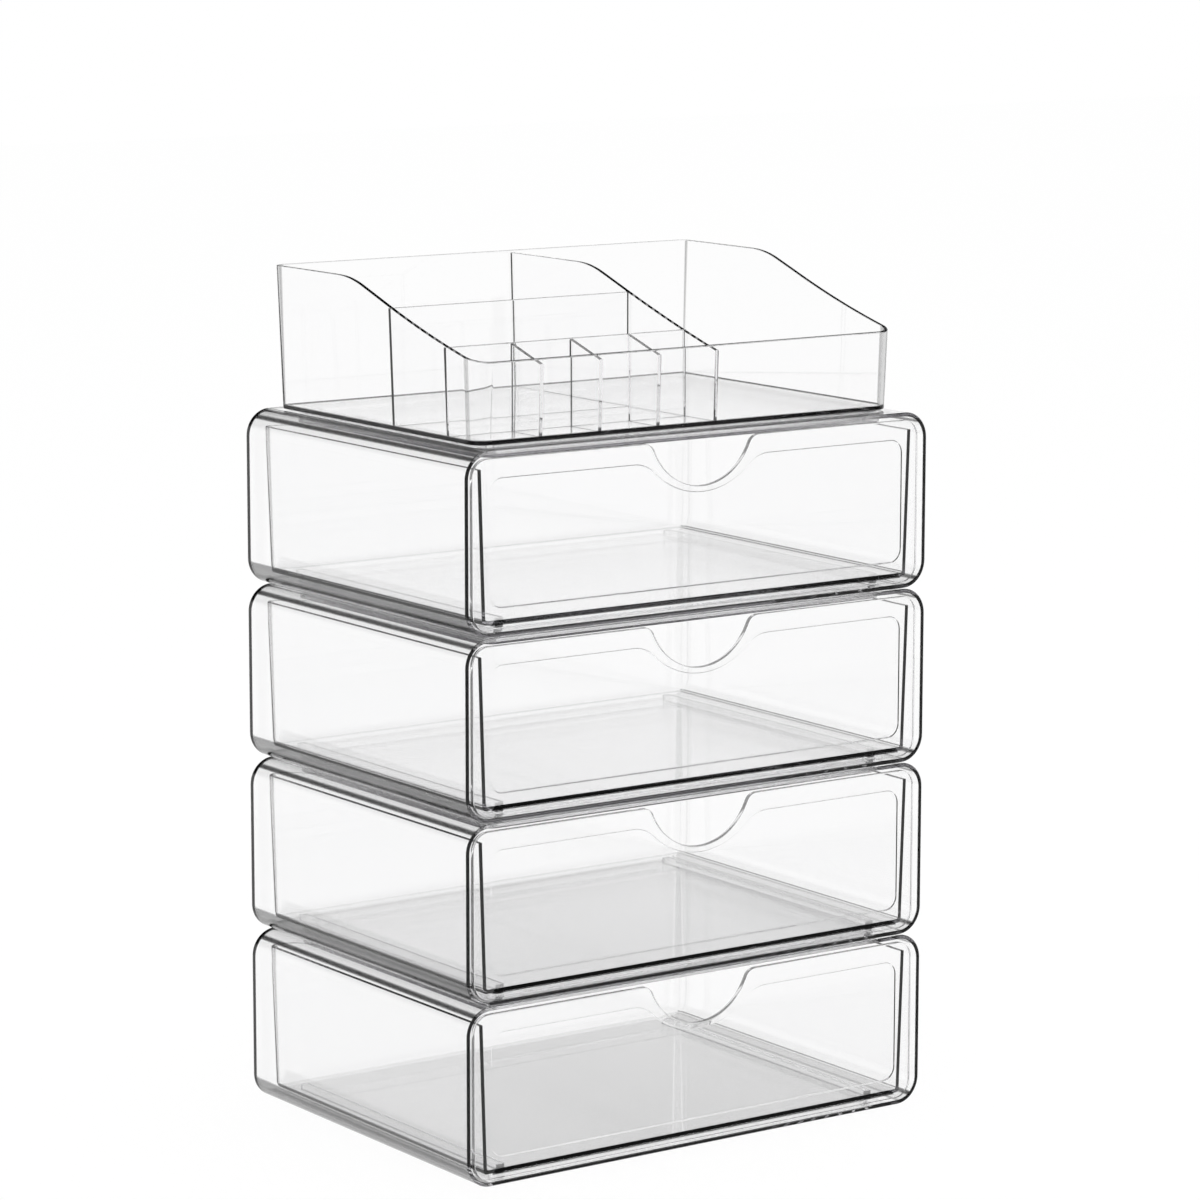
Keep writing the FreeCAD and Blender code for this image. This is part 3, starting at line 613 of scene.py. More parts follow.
@dataclass
class Drawer:
    """A drawer: a tapered bin on two runners behind a scooped front with an inset panel."""

    stack: Stack
    # front
    reveal: float = 0.9
    front_wall: float = 2.2
    side_gap: float = 2.5
    floor_gap: float = 0.8
    roof_gap: float = 1.8
    front_round: float = 7.7
    front_softness: float = 0.4
    notch_half: float = 31.0
    notch_depth: float = 20.4
    notch_shoulder: float = 5.8
    panel_side: float = 9.2
    panel_top: float = 8.6
    panel_low: float = 9.5
    panel_round: float = 6.0
    panel_inset: float = 0.6
    dip_half: float = 36.5
    dip_depth: float = 14.5
    dip_shoulder: float = 16.0
    # bin
    play: float = 0.3
    runner_height: float = 2.8
    runner_width: float = 4.4
    runner_margin: float = 13.2
    runner_inset: float = 6.0
    bin_side: float = 5.9
    bin_back: float = 0.8
    bin_roof: float = 3.2
    draft: float = 1.8
    bin_round: float = 3.0
    floor_round: float = 1.6
    inner_round: float = 1.0
    rim_softness: float = 0.35
    # painted shade: how far the side base rises over the floor's rounding, how far the base
    # stretch on the front reaches below and above the floor, and how squarely a shaded corner
    # faces
    seam: float = 0.35
    base_below: float = 0.15
    base_above: float = 0.35
    corner_facing: float = 0.5

    @property
    def face(self) -> float:
        """Distance of the front's face from the middle."""
        return self.stack.depth / 2 - self.reveal

    @property
    def low(self) -> float:
        """Height of the bin's underside over the case's underside."""
        return self.stack.wall + self.play + self.runner_height

    @property
    def high(self) -> float:
        """Height of the bin's upper edge."""
        s = self.stack
        return s.height - s.wall - s.seat_depth - self.bin_roof

    @property
    def slope(self) -> float:
        """Outward lean of the bin's walls."""
        return math.tan(math.radians(self.draft))

    @property
    def bin_half(self) -> float:
        """Half width of the bin at its underside."""
        s = self.stack
        return s.width / 2 - s.wall - self.bin_side - (self.high - self.low) * self.slope

    @property
    def bin_rear(self) -> float:
        """Distance of the bin's back from the middle at its underside."""
        s = self.stack
        return s.depth / 2 - s.wall - self.bin_back - (self.high - self.low) * self.slope

    def bin(self) -> Form:
        """Carry the bin's floor outline up the leaning wall, over the edge and down inside.

        Each loop also moves outwards by its height over the underside times the lean.

        Returns:
            The bin, longer than it is deep: the front cuts it off.
        """
        s, low, high, edge = self.stack, self.low, self.high, self.rim_softness
        base, inner, wall = self.floor_round, self.inner_round, self.stack.wall
        side_base_top = low + base + self.seam
        profile = np.concatenate([
            bend((-base, low + base), base, 270, 360), [[0.0, side_base_top]],
            bend((-edge, high - edge), edge, 0, 90),
            bend((edge - wall, high - edge), edge, 90, 180),
            bend((-wall - inner, low + wall + inner), inner, 360, 270),
        ])
        middle = (profile[:, 1] + np.roll(profile[:, 1], -1)) / 2
        outer = profile[:, 0] > -base
        # painted shade: the rim takes a light tone and the outside of the floor's rounding is
        # painted near black, on the left side only; the right-hand bends stay pale
        shade_mark = np.select([middle > high - edge, outer & (middle < side_base_top)],
                           [ShadeMark.RIM, ShadeMark.SEAM], ShadeMark.WALL)
        profile[:, 0] += (profile[:, 1] - low) * self.slope
        outline = Outline.rectangle(-self.bin_half, self.bin_half,
                                    -s.depth / 2 - 3 * wall, self.bin_rear, self.bin_round)
        marks = outline.shade_marks(shade_mark, self.corner_facing)
        side = outline.outward[:, 0]
        marks = np.where((marks == ShadeMark.SEAM) & (side > -MAINLY), ShadeMark.WALL, marks)
        pale = (marks != ShadeMark.RIM) & outline.turning & (side > 0)
        return Form(outline.carried(profile, Plane.FLAT), np.where(pale, ShadeMark.PALE, marks))

    def ahead(self) -> Form:
        """Block out all that would stand in front of the middle of the front's thickness.

        Returns:
            The block.
        """
        s, cut = self.stack, self.front_wall / 2 - self.face
        outline = Outline.rectangle(-s.width, s.width, -s.wall, 2 * s.height, s.wall, 3)
        profile = np.array([[0.0, cut], [0.0, -s.depth]])
        return Form.plain(outline.carried(profile, Plane.UPRIGHT))

    def front(self) -> Form:
        """Carry the scooped outline from the back over the edge, then step in at the panel.

        The step is one smooth turn: its depth follows (1 - cos u) / 2 while its offset goes
        evenly from just outside the panel's outline to just inside it.

        Returns:
            The front, with its narrow edge and the line of the floor marked.
        """
        s, soft, inset = self.stack, self.front_softness, self.panel_inset
        half = s.width / 2 - s.wall - self.side_gap
        low, high = s.wall + self.floor_gap, s.height - s.wall - self.roof_gap
        outer = Outline.scooped(half, low, high, self.front_round, self.notch_half,
                                self.notch_depth, self.notch_shoulder)
        inner = Outline.scooped(half - self.panel_side, low + self.panel_low,
                                high - self.panel_top, self.panel_round, self.dip_half,
                                self.dip_depth, self.dip_shoulder)
        back, turn = self.front_wall - self.face, 4
        edge = np.concatenate([bend((-soft / 2, back - soft / 2), soft / 2, 90, 0, turn),
                               bend((-soft, soft - self.face), soft, 0, -90)])
        u = np.linspace(0, math.pi, 9)
        step = np.stack([inset * (0.5 - u / math.pi), inset * (1 - np.cos(u)) / 2 - self.face],
                        axis=-1)
        rim, panel = outer.carried(edge, Plane.UPRIGHT), inner.carried(step, Plane.UPRIGHT)
        # two more loops between rim and panel bound the stretch that the floor meets, painted
        # dark
        slab = self.low - low + np.array([-self.base_below, s.wall + self.base_above])
        share = (slab - soft) / (self.panel_low - soft)
        strip = rim[-1] + share[:, None, None] * (panel[0] - rim[-1])
        shade_mark = np.full(len(rim) + len(strip) + len(panel), ShadeMark.WALL)
        shade_mark[turn - 1] = ShadeMark.RIM
        marks = outer.shade_marks(shade_mark)
        marks[len(rim) - 1:] = ShadeMark.WALL
        side, rise = outer.outward.T
        # painted shade: near black on the floor's stretch along the bottom, and the lip's darker
        # tone on the right edge
        marks[len(rim), (rise < -SQUARELY) & ~outer.turning] = ShadeMark.BASE
        marks[:len(rim) - 1, side > SQUARELY] = ShadeMark.LIP
        return Form(np.concatenate([rim, strip, panel]), marks)

    def runner(self, side: int) -> Form:
        """Draw one runner.

        Args:
            side: -1 for the left one, 1 for the right one.

        Returns:
            The runner, its top buried in the bin's floor.
        """
        s, half, soft = self.stack, self.runner_width / 2, self.rim_softness
        middle = (self.bin_half - self.runner_margin) * side
        low = s.wall + self.play
        outline = Outline.rectangle(middle - half, middle + half,
                                    self.runner_inset + self.front_wall - self.face,
                                    self.bin_rear - self.runner_inset, half / 2, 5)
        profile = np.concatenate([bend((-soft, low + soft), soft, 270, 360, 4),
                                  [[0.0, self.low + s.wall / 2]]])
        return Form.plain(outline.carried(profile, Plane.FLAT))

    def mesh(self) -> bpy.types.Mesh:
        """Join bin, front and runners."""
        steps = [(Join.TAKE, self.ahead()), (Join.ADD, self.front()),
                 (Join.ADD, self.runner(-1)), (Join.ADD, self.runner(1))]
        return combined("drawer", self.bin(), steps)


@dataclass(frozen=True)
class Sweep:
    """The falling top line of the tray's sides: level, a bow, a straight slide, a hollow."""

    high: float
    start: float
    knee: float
    end: float
    lip_drop: float
    bow: float = 60.0
    knee_drop: float = 10.0

    def height(self, y: Array) -> Array:
        """Work out the height over a distance.

        With a = the angle at which the bow's tangent meets the knee, the line is high behind
        the start; high - bow + sqrt(bow^2 - (y - start)^2) on the bow; straight at tan a down
        to the knee; and on the hollow z = cz - sqrt(R^2 - (y - cy)^2), the arc that leaves the
        knee at angle a and reaches the lip at the end.

        Args:
            y: distances from the middle, towards the back.

        Returns:
            The heights, one for each distance.
        """
        across, rise = self.knee - self.start, self.bow - self.knee_drop
        angle = (math.atan2(rise, across) - math.acos(self.bow / math.hypot(across, rise))
                 - math.pi / 2)
        bow_y = self.start - self.bow * math.sin(angle)
        knee_z, lip = self.high - self.knee_drop, self.high - self.lip_drop
        run, fall = self.knee - self.end, knee_z - lip
        turn = angle - math.atan2(fall, run)
        radius = math.hypot(run, fall) / (2 * math.sin(turn))
        centre_y = self.knee - radius * math.sin(angle)
        centre_z = knee_z + radius * math.cos(angle)
        bow_z = np.sqrt(np.maximum(self.bow ** 2 - (y - self.start) ** 2, 0.0))
        hollow_z = np.sqrt(np.maximum(radius ** 2 - (y - centre_y) ** 2, 0.0))
        return np.select(
            [y >= self.start, y >= bow_y, y >= self.knee],
            [np.full_like(y, self.high), self.high - self.bow + bow_z,
             knee_z + (y - self.knee) * math.tan(angle)],
            centre_z - hollow_z,
        )


@dataclass
class Tray:
    """The compartment tray: a leaning tub with swept sides, dividers and a ring foot."""

    stack: Stack
    side_overhang: float = 6.1
    front_overhang: float = 1.1
    back_overhang: float = 6.5
    height: float = 65.0
    draft: float = 2.1
    round: float = 8.0
    back_round: float = 2.4
    base_round: float = 0.8
    inner_round: float = 0.5
    edge_softness: float = 0.4
    sweep_start: float = 106.6
    sweep_knee: float = 67.6
    lip_drop: float = 31.1
    divider_drop: float = 1.0
    divider_wall: float = 1.8
    bay_split: float = 14.0
    cells: int = 4
    cell_pitch: float = 31.0
    cell_depth: float = 23.3
    cell_rise: float = 6.3
    bay_front: float = 66.0
    bay_drop: float = 11.6
    # points along the sweep, and how squarely the corners with painted shade face, behind and in
    # front
    sweep_steps: int = 110
    back_facing: float = 0.5
    front_facing: float = 0.85
    half: float = field(init=False)
    front: float = field(init=False)
    back: float = field(init=False)

    def __post_init__(self) -> None:
        """Take the base's size from the sunk top."""
        s = self.stack
        self.half = s.width / 2 - s.seat_side + self.side_overhang
        self.front = s.depth / 2 - s.seat_front + self.front_overhang
        self.back = s.depth / 2 - s.seat_back + self.back_overhang

    @property
    def slope(self) -> float:
        """Outward lean of the tray's walls."""
        return math.tan(math.radians(self.draft))

    def sweep(self, end: float, drop: float = 0.0) -> Sweep:
        """Draw the top line of the sides, or of a divider that stands lower."""
        return Sweep(self.stack.foot + self.height - drop, self.sweep_start - self.front,
                     self.sweep_knee - self.front, end, self.lip_drop)

    def tub(self) -> Form:
        """Carry the base outline up the leaning wall to the swept edge and down inside.

        A loop at height z stands (z - base) * lean further out. The upper loops take their
        height from the sweep at their own distance, found by putting one into the other four
        times over.

        Returns:
            The tub, with painted shade on its upper edge and on the edge of its floor.
        """
        s, soft, base, inner = self.stack, self.edge_softness, self.base_round, self.inner_round
        low, wall = s.foot, s.wall
        outline = Outline.rectangle(-self.half, self.half, -self.front, self.back, self.round,
                                    along=self.sweep_steps, far=self.back_round)
        lower = np.concatenate([bend((-base, low + base), base, 270, 360),
                                [[0.0, low + wall + base / 4]]])
        upper = np.concatenate([bend((-soft, -soft), soft, 0, 90, 5),
                                bend((soft - wall, -soft), soft, 90, 180, 5)])
        floor = bend((-wall - inner, low + wall + inner), inner, 360, 270)
        line = self.sweep(-(self.front + self.round))
        out = np.concatenate([lower, upper, floor])[:, :1]
        points, ahead = outline.points[None], outline.outward[None]
        first, last = len(lower), len(lower) + len(upper)
        z = np.full((len(out), points.shape[1]), line.high)
        z[:first], z[last:] = lower[:, 1:2], floor[:, 1:2]
        for _ in range(4):
            spot = points + (out + (z - low) * self.slope)[..., None] * ahead
            z[first:last] = line.height(spot[first:last, :, 1]) + upper[:, 1:2]
        spot = points + (out + (z - low) * self.slope)[..., None] * ahead
        # painted shade: near black round the outside of the floor's edge, light on the upper edge
        shade_mark = np.full(len(out), ShadeMark.WALL)
        shade_mark[:first - 1], shade_mark[first:last - 1] = ShadeMark.BASE, ShadeMark.RIM
        facing = np.where(outline.outward[:, 1] > 0, self.back_facing, self.front_facing)
        return Form(np.concatenate([spot, z[..., None]], axis=-1),
                    outline.shade_marks(shade_mark, facing))

    def reach(self, half: float, level: float) -> float:
        """Tell how far out the middle of a leaning wall stands at a height over the base."""
        return half - self.stack.wall / 2 + level * self.slope

    def long_divider(self) -> Form:
        """Raise the divider that runs from front to back under the sweep.

        Returns:
            The divider, its ends in the middle of the front and back walls.
        """
        s, drop = self.stack, self.divider_drop
        sunk = s.wall / 2
        lip = self.height - self.lip_drop - drop
        share = np.linspace(0, 1, self.sweep_steps)
        foot_y = -self.reach(self.front, sunk) + share * (
            self.reach(self.front, sunk) + self.reach(self.back, sunk))
        ends = -self.reach(self.front, lip), self.reach(self.back, self.height - drop)
        head_y = ends[0] + share * (ends[1] - ends[0])
        foot = np.stack([foot_y, np.full_like(share, s.foot + sunk)], axis=-1)
        head = np.stack([head_y, self.sweep(ends[0], drop).height(head_y)], axis=-1)
        return fin(foot, head, self.bay_split, self.divider_wall, Run.BACKWARDS)

    def row_divider(self, forward: float, tall: float) -> Form:
        """Raise a divider that runs across the left part.

        Args:
            forward: its distance in front of the middle.
            tall: its height over the base.

        Returns:
            The divider, from inside the side wall to the middle of the long divider.
        """
        s, sunk = self.stack, self.stack.wall / 2
        foot = np.array([[-self.reach(self.half, sunk), s.foot + sunk],
                         [self.bay_split, s.foot + sunk]])
        head = np.array([[-self.reach(self.half, tall), s.foot + tall],
                         [self.bay_split, s.foot + tall]])
        return fin(foot, head, -forward, self.divider_wall, Run.ACROSS)

    def cell_divider(self, number: int) -> Form:
        """Raise one of the short dividers that part the small front cells.

        Args:
            number: which one, counted from the long divider.

        Returns:
            The divider, from the middle of the front wall to the front row divider.
        """
        s, sunk = self.stack, self.stack.wall / 2
        lip = self.height - self.lip_drop
        back = self.cell_depth - self.front
        lowest = lip - self.divider_drop
        foot = np.array([[-self.reach(self.front, sunk), s.foot + sunk],
                         [back, s.foot + sunk]])
        head = np.array([[-self.reach(self.front, lowest), s.foot + lowest],
                         [back, s.foot + lip + self.cell_rise]])
        place = self.bay_split - self.cell_pitch * number
        return fin(foot, head, place, self.divider_wall, Run.BACKWARDS)

    def mesh(self) -> bpy.types.Mesh:
        """Join tub, dividers and foot.

        Returns:
            The tray's mesh.
        """
        rows = [self.row_divider(self.front - self.bay_front, self.height - self.bay_drop),
                self.row_divider(self.front - self.cell_depth,
                                 self.height - self.lip_drop + self.cell_rise)]
        cells = [self.cell_divider(number) for number in range(1, self.cells)]
        solids = [self.long_divider(), *rows, *cells, self.stack.ring_foot()]
        return combined("tray", self.tub(), [(Join.ADD, solid) for solid in solids])


# ---------------------------------------------------------------------------------------------
# Clear plastic and its painted shade
# ---------------------------------------------------------------------------------------------
@dataclass(frozen=True)
class Nodes:
    """A node tree, with the ways of joining nodes that are used over and over."""

    tree: bpy.types.NodeTree

    @classmethod
    def of(cls, owner: bpy.types.Material | bpy.types.World) -> "Nodes":
        """Clear the node tree of a material or a world and take it over.

        Args:
            owner: the material or the world.

        Returns:
            The empty tree.
        """
        owner.use_nodes = True
        owner.node_tree.nodes.clear()
        return cls(owner.node_tree)

    def add(self, kind: str) -> bpy.types.Node:
        """Add a node."""
        return self.tree.nodes.new(kind)

    def link(self, out: Socket, entry: Socket) -> None:
        """Run a link from a node's output to another's input."""
        self.tree.links.new(out, entry)

    def highest(self, *levels: Socket) -> Socket:
        """Take the highest of several levels.

        Args:
            levels: the levels, two or more.

        Returns:
            The highest.
        """
        top = levels[0]
        for level in levels[1:]:
            node = self.add("ShaderNodeMath")
            node.operation = "MAXIMUM"
            self.link(top, node.inputs[0])
            self.link(level, node.inputs[1])
            top = node.outputs[0]
        return top

    def eased(self, level: Socket, start: float, full: float, first: float = 0.0,
              last: float = 1.0) -> Socket:
        """Ease from one value to another as a level goes from the start to the full.

        Args:
            level: the level.
            start: the level up to which the first value holds.
            full: the level from which the last value holds.
            first: the first value.
            last: the last value.

        Returns:
            The value, first + (last - first) * (3 t^2 - 2 t^3), t the share of the way.
        """
        span = self.add("ShaderNodeMapRange")
        span.interpolation_type = "SMOOTHSTEP"
        for name, value in (("From Min", start), ("From Max", full), ("To Min", first),
                            ("To Max", last)):
            span.inputs[name].default_value = value
        self.link(level, span.inputs["Value"])
        return span.outputs[0]

    def shared(self, share: Socket, first: bpy.types.Node, second: bpy.types.Node) -> Socket:
        """Mix two shaders.

        Args:
            share: how much of the second there is.
            first: the node of the first shader.
            second: the node of the second shader.

        Returns:
            The mixed shader.
        """
        mix = self.add("ShaderNodeMixShader")
        for socket, entry in zip((share, first.outputs[0], second.outputs[0]), mix.inputs):
            self.link(socket, entry)
        return mix.outputs[0]

    def finished(self, surface: Socket, kind: str = "ShaderNodeOutputMaterial"
                 ) -> bpy.types.Node:
        """Give the surface out.

        Args:
            surface: the shader.
            kind: the kind of output node.

        Returns:
            The output node.
        """
        out = self.add(kind)
        self.link(surface, out.inputs["Surface"])
        return out


@dataclass(frozen=True)
class ClearPlastic:
    """Moulded clear plastic: refracting, grey where light goes the long way, and painted shade.

    A thin wall seen square on is colourless. Light that runs along inside a wall is taken up.
    Edges and bends are drawn in grey by painted shade: the colour darkens on marked faces, on
    leaning faces and where a surface is seen edge-on, and marked faces' reflections darken too.
    """

    name: str
    tone: tuple[float, float, float] = (1.0, 1.0, 1.0)
    flow_tone: tuple[float, float, float] = (0.996, 0.996, 0.997)
    through_tone: float = 0.97
    # painted shade at the outline: how edge-on a face is seen where it starts and where it is
    # full
    graze_start: float = 0.86
    graze_full: float = 1.0
    # painted shade line: how far a face points up or down where it is still clear, where the
    # shoulder's line starts and ends, and where the brow is reached
    lean_places: tuple[float, float, float, float] = (0.66, 0.71, 0.79, 0.84)
    shoulder_tone: float = 0.1
    brow_tone: float = 0.9
    depth_tone: tuple[float, float, float] = (0.940, 0.939, 0.942)
    depth_loss: float = 100.0
    index: float = 1.49
    roughness: float = 0.012
    flow_size: float = 0.035
    flow_depth: float = 0.000006

    def build(self) -> bpy.types.Material:
        """Make the node material.

        Returns:
            The material, with the loss of light through the plastic on its volume.
        """
        material = bpy.data.materials.new(self.name)
        nodes = Nodes.of(material)
        add, link = nodes.add, nodes.link
        shader = add("ShaderNodeBsdfPrincipled")
        shader.inputs["Transmission Weight"].default_value = 1.0
        shader.inputs["IOR"].default_value = self.index
        shader.inputs["Roughness"].default_value = self.roughness
        tone = self.flowing(nodes, shader)
        # painted shade darkens the colour, and the tone of each mark darkens its reflections too
        link(self.painted_shade(nodes, tone), shader.inputs["Base Color"])
        link(self.part(nodes, "tone"), shader.inputs["Specular Tint"])
        out = nodes.finished(self.lit(nodes, shader))
        loss = add("ShaderNodeVolumeAbsorption")
        loss.inputs["Color"].default_value = (*self.depth_tone, 1.0)
        loss.inputs["Density"].default_value = self.depth_loss
        link(loss.outputs["Volume"], out.inputs["Volume"])
        return material

    def flowing(self, nodes: Nodes, shader: bpy.types.Node) -> Socket:
        """Give the plastic the slight flow of a moulding: a soft bump, and a drift of tone.

        Args:
            nodes: the material's node tree.
            shader: the refracting shader, whose surface takes the bump.

        Returns:
            The tone, between the flow's own and the plain one.
        """
        add, link = nodes.add, nodes.link
        coords = add("ShaderNodeTexCoord")
        flow = add("ShaderNodeTexNoise")
        flow.inputs["Scale"].default_value = 1.0 / self.flow_size
        flow.inputs["Detail"].default_value = 1.0
        link(coords.outputs["Object"], flow.inputs["Vector"])
        bump = add("ShaderNodeBump")
        bump.inputs["Distance"].default_value = self.flow_depth
        link(flow.outputs["Fac"], bump.inputs["Height"])
        link(bump.outputs["Normal"], shader.inputs["Normal"])
        drift = add("ShaderNodeMix")
        drift.data_type = "RGBA"
        drift.inputs["A"].default_value = (*self.flow_tone, 1.0)
        drift.inputs["B"].default_value = (*self.tone, 1.0)
        link(flow.outputs["Fac"], drift.inputs["Factor"])
        return drift.outputs["Result"]

    @staticmethod
    def part(nodes: Nodes, name: str) -> Socket:
        """Read one part of each face's finish from the mesh.

        Args:
            nodes: the material's node tree.
            name: the part, by the name of its attribute.

        Returns:
            The part's level.
        """
        node = nodes.add("ShaderNodeAttribute")
        node.attribute_name = name
        return node.outputs["Fac"]

    def leaning(self, nodes: Nodes) -> Socket:
        """Paint a dark line of shade where a face turns from upright to level.

        Args:
            nodes: the material's node tree.

        Returns:
            The tone, a ramp over the size of the normal's upward part: clear, then the painted
            shade line at the shoulder, then the lighter painted shade of the brow.
        """
        add, link = nodes.add, nodes.link
        split, size = add("ShaderNodeSeparateXYZ"), add("ShaderNodeMath")
        size.operation = "ABSOLUTE"
        link(add("ShaderNodeNewGeometry").outputs["Normal"], split.inputs[0])
        link(split.outputs["Z"], size.inputs[0])
        ramp = add("ShaderNodeValToRGB")
        stops = ramp.color_ramp.elements
        stops[0].color, stops[-1].color = (1.0, 1.0, 1.0, 1.0), (*[self.brow_tone] * 3, 1.0)
        levels = (1.0, self.shoulder_tone, self.shoulder_tone, self.brow_tone)
        for place, level in zip(self.lean_places, levels):
            stops.new(place).color = (level, level, level, 1.0)
        link(size.outputs[0], ramp.inputs["Fac"])
        return ramp.outputs["Color"]

    def painted_shade(self, nodes: Nodes, tone: Socket) -> Socket:
        """Darken the tone by each face's painted shade.

        Args:
            nodes: the material's node tree.
            tone: the plain tone.

        Returns:
            The tone times the mark's painted shade, times the painted shoulder line by the mark's
            slant, turning into the mark's painted grazing shade at the outline.
        """
        add, link = nodes.add, nodes.link
        own, graze, slant = (self.part(nodes, name) for name in ("tone", "graze", "slant"))
        lean = self.leaning(nodes)
        toned, leaned, edged = (add("ShaderNodeMix") for _ in range(3))
        for mix in (toned, leaned, edged):
            mix.data_type = "RGBA"
        toned.blend_type = leaned.blend_type = "MULTIPLY"
        toned.inputs["Factor"].default_value = 1.0
        link(tone, toned.inputs["A"])
        link(own, toned.inputs["B"])
        link(slant, leaned.inputs["Factor"])
        link(toned.outputs["Result"], leaned.inputs["A"])
        link(lean, leaned.inputs["B"])
        facing = add("ShaderNodeLayerWeight").outputs["Facing"]
        link(nodes.eased(facing, self.graze_start, self.graze_full), edged.inputs["Factor"])
        link(leaned.outputs["Result"], edged.inputs["A"])
        link(graze, edged.inputs["B"])
        return edged.outputs["Result"]

    def lit(self, nodes: Nodes, shader: bpy.types.Node) -> Socket:
        """Let shadow light, scattered light and each face's plain share pass straight through.

        Args:
            nodes: the material's node tree.
            shader: the refracting shader.

        Returns:
            The surface to give out.
        """
        through = nodes.add("ShaderNodeBsdfTransparent")
        through.inputs["Color"].default_value = (*[self.through_tone] * 3, 1.0)
        path = nodes.add("ShaderNodeLightPath").outputs
        share = nodes.highest(path["Is Shadow Ray"], path["Is Diffuse Ray"],
                              self.part(nodes, "plain"))
        return nodes.shared(share, shader, through)


# ---------------------------------------------------------------------------------------------
# Studio
# ---------------------------------------------------------------------------------------------
@dataclass(frozen=True)
class Lamp:
    """A soft square lamp that looks at the middle of the stack."""

    name: str
    place: tuple[float, float, float]
    size: float
    power: float
    aim_height: float = 0.2

    def light(self) -> None:
        """Hang the lamp."""
        light = bpy.data.lights.new(self.name, "AREA")
        light.size = self.size
        light.energy = self.power
        lamp = bpy.data.objects.new(self.name, light)
        aim = Vector((0, 0, self.aim_height)) - Vector(self.place)
        turn = aim.to_track_quat("-Z", "Y").to_matrix().to_4x4()
        lamp.matrix_world = Matrix.Translation(self.place) @ turn
        bpy.context.scene.collection.objects.link(lamp)


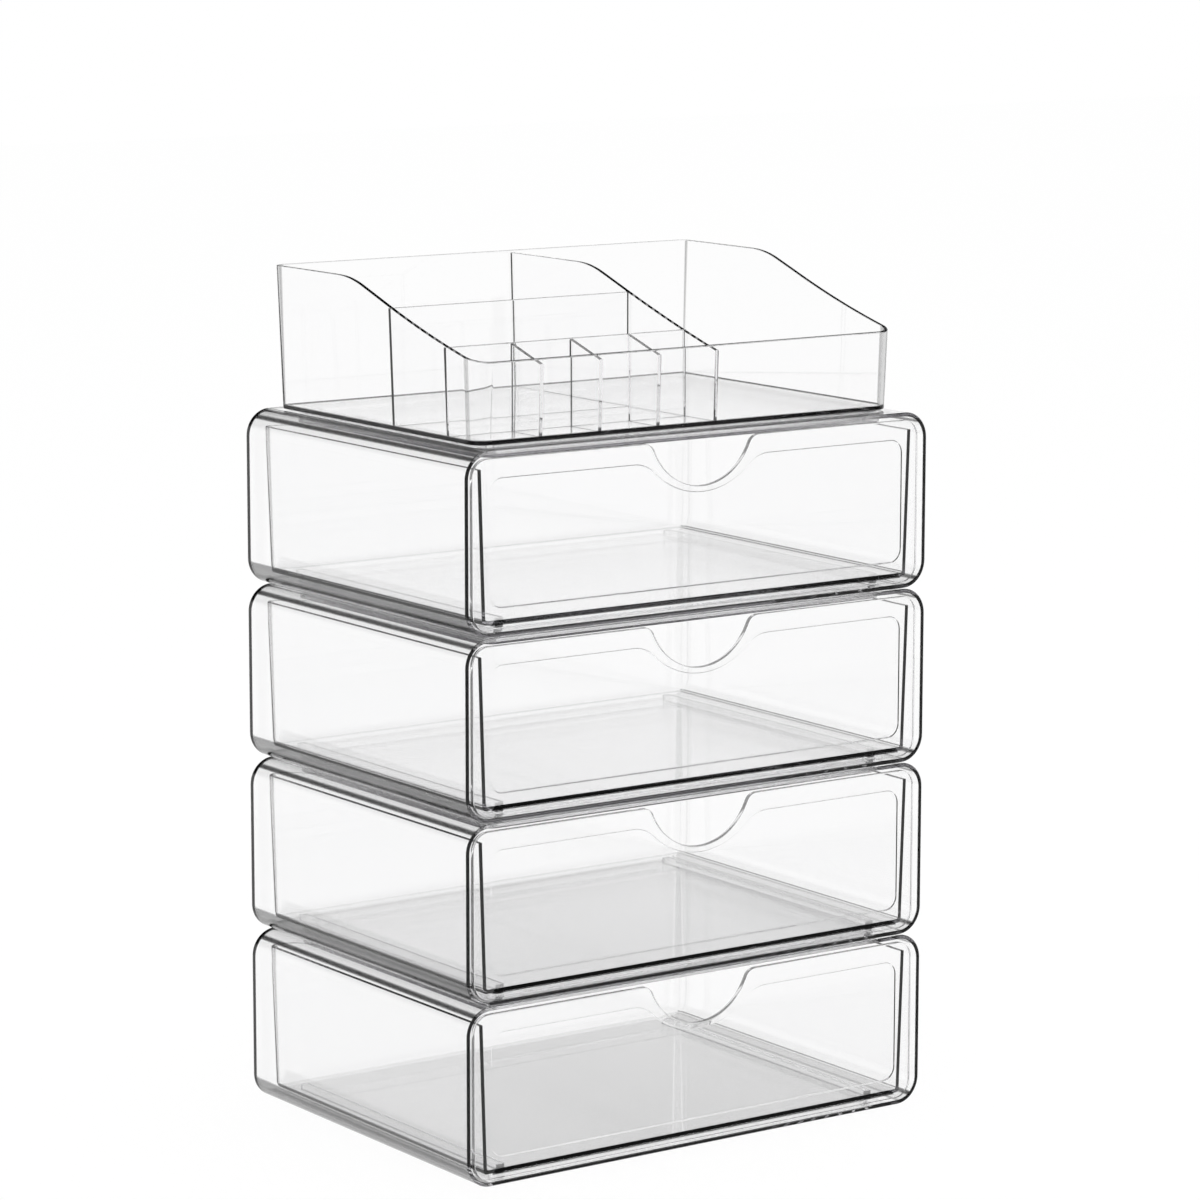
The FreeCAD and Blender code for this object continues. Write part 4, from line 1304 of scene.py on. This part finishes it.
@dataclass
class Studio:
    """Floor, surroundings, lamps and camera."""

    floor_half: float = 6.0
    floor_tone: float = 0.95
    floor_glow: float = 0.9
    camera_place: tuple[float, float, float] = (-1.17201, -1.66649, 0.58091)
    yaw: float = 0.6161034
    dip: float = 0.1669075
    roll: float = 0.0013143
    focal_px: float = 4548.77
    frame_px: float = 1200.0
    sensor_mm: float = 36.0
    near: float = 0.05
    far: float = 50.0
    ceiling_start: float = 0.17
    ceiling_full: float = 0.36
    ceiling_level: float = 0.02
    # how often light may cross the plastic, pass it unbent and be mirrored: a look through the
    # stack meets dozens of walls
    crossings: int = 48
    clear_crossings: int = 64
    mirrorings: int = 16
    lamps: tuple[Lamp, ...] = (
        Lamp("key", place=(-1.4, -1.6, 1.9), size=1.2, power=14.0),
        Lamp("fill", place=(1.8, -0.9, 1.3), size=1.4, power=7.0),
    )

    def build(self) -> None:
        """Set up everything round the object, and how far light is followed."""
        cycles = bpy.context.scene.cycles
        cycles.max_bounces = self.crossings
        cycles.transmission_bounces = self.crossings
        cycles.transparent_max_bounces = self.clear_crossings
        cycles.glossy_bounces = self.mirrorings
        self.camera()
        self.surroundings()
        self.floor()
        for lamp in self.lamps:
            lamp.light()

    def camera(self) -> None:
        """Place the camera from its bearing, downward tilt and roll."""
        forward = Vector((math.sin(self.yaw) * math.cos(self.dip),
                          math.cos(self.yaw) * math.cos(self.dip), -math.sin(self.dip)))
        level = Vector((math.cos(self.yaw), -math.sin(self.yaw), 0.0))
        over = level.cross(forward)
        right = level * math.cos(self.roll) + over * math.sin(self.roll)
        up = over * math.cos(self.roll) - level * math.sin(self.roll)
        lens = bpy.data.cameras.new("camera")
        lens.sensor_width = self.sensor_mm
        lens.lens = self.focal_px / self.frame_px * self.sensor_mm
        lens.clip_start, lens.clip_end = self.near, self.far
        eye = bpy.data.objects.new("camera", lens)
        turn = Matrix((right, up, -forward)).transposed().to_4x4()
        eye.matrix_world = Matrix.Translation(self.camera_place) @ turn
        bpy.context.scene.collection.objects.link(eye)
        bpy.context.scene.camera = eye

    def surroundings(self) -> None:
        """White all round the horizon under a dark ceiling, and plain white to look at."""
        world = bpy.data.worlds.new("studio")
        bpy.context.scene.world = world
        nodes = Nodes.of(world)
        add, link = nodes.add, nodes.link
        split = add("ShaderNodeSeparateXYZ")
        link(add("ShaderNodeTexCoord").outputs["Generated"], split.inputs[0])
        room, seen = add("ShaderNodeBackground"), add("ShaderNodeBackground")
        for white in (room, seen):
            white.inputs["Color"].default_value = (1, 1, 1, 1)
        level = nodes.eased(split.outputs["Z"], self.ceiling_start, self.ceiling_full, 1.0,
                            self.ceiling_level)
        link(level, room.inputs["Strength"])
        path = add("ShaderNodeLightPath").outputs
        plain = nodes.highest(path["Is Camera Ray"], path["Is Diffuse Ray"])
        nodes.finished(nodes.shared(plain, room, seen), "ShaderNodeOutputWorld")

    def floor(self) -> None:
        """Lay a pale floor that shows white and keeps a faint shadow."""
        h = self.floor_half
        mesh = bpy.data.meshes.new("floor")
        mesh.from_pydata([(-h, -h, 0), (h, -h, 0), (h, h, 0), (-h, h, 0)], [], [(0, 1, 2, 3)])
        ground = bpy.data.objects.new("floor", mesh)
        bpy.context.scene.collection.objects.link(ground)
        material = bpy.data.materials.new("pale_floor")
        nodes = Nodes.of(material)
        add, link = nodes.add, nodes.link
        matt = add("ShaderNodeBsdfDiffuse")
        matt.inputs["Color"].default_value = (*[self.floor_tone] * 3, 1)
        glow = add("ShaderNodeEmission")
        path = add("ShaderNodeLightPath").outputs
        looked = nodes.highest(path["Is Camera Ray"], path["Is Transmission Ray"],
                               path["Is Glossy Ray"])
        share = add("ShaderNodeMath")
        share.operation = "MULTIPLY"
        share.inputs[1].default_value = self.floor_glow
        link(looked, share.inputs[0])
        nodes.finished(nodes.shared(share.outputs[0], matt, glow))
        mesh.materials.append(material)


@dataclass
class Organiser:
    """The whole stack: four cases, their drawers and the tray, each riding on its own body."""

    units: int = 4
    stack: Stack = Stack()
    plastic: ClearPlastic = ClearPlastic("clear_plastic")

    def place(self, mesh: bpy.types.Mesh, node: str, slot: str, lift: float) -> None:
        """Put one moulding in the place of its node.

        Args:
            mesh: the moulding, made on the ground.
            node: the node that it stands for.
            slot: not used.
            lift: how far up it goes, in millimetres.
        """
        piece = raised(mesh, f"{node}_moulding", lift)
        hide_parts(node)
        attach(piece, node)
        LOG.info("%s: %d faces, lifted %.1f mm", node, len(piece.data.polygons), lift)

    def build(self) -> None:
        """Make the three mouldings and stand them in their places."""
        plastic = self.plastic.build()
        case, drawer, tray = (maker(self.stack).mesh() for maker in (Case, Drawer, Tray))
        for mesh in (case, drawer, tray):
            mesh.materials.append(plastic)
        for number in range(self.units):
            lift = self.stack.pitch * number
            self.place(case, f"case_{number + 1}", "case_clear", lift)
            self.place(drawer, f"drawer_{number + 1}", "drawer_clear", lift + self.stack.foot)
        self.place(tray, "organiser_tray", "tray_clear", self.stack.pitch * self.units)


def main() -> None:
    """Dress every node, then set the studio round it."""
    logging.basicConfig(level=logging.INFO)
    bpy.context.scene.view_settings.view_transform = "Standard"
    Organiser().build()
    Studio().build()


if __name__ == "__main__":
    main()
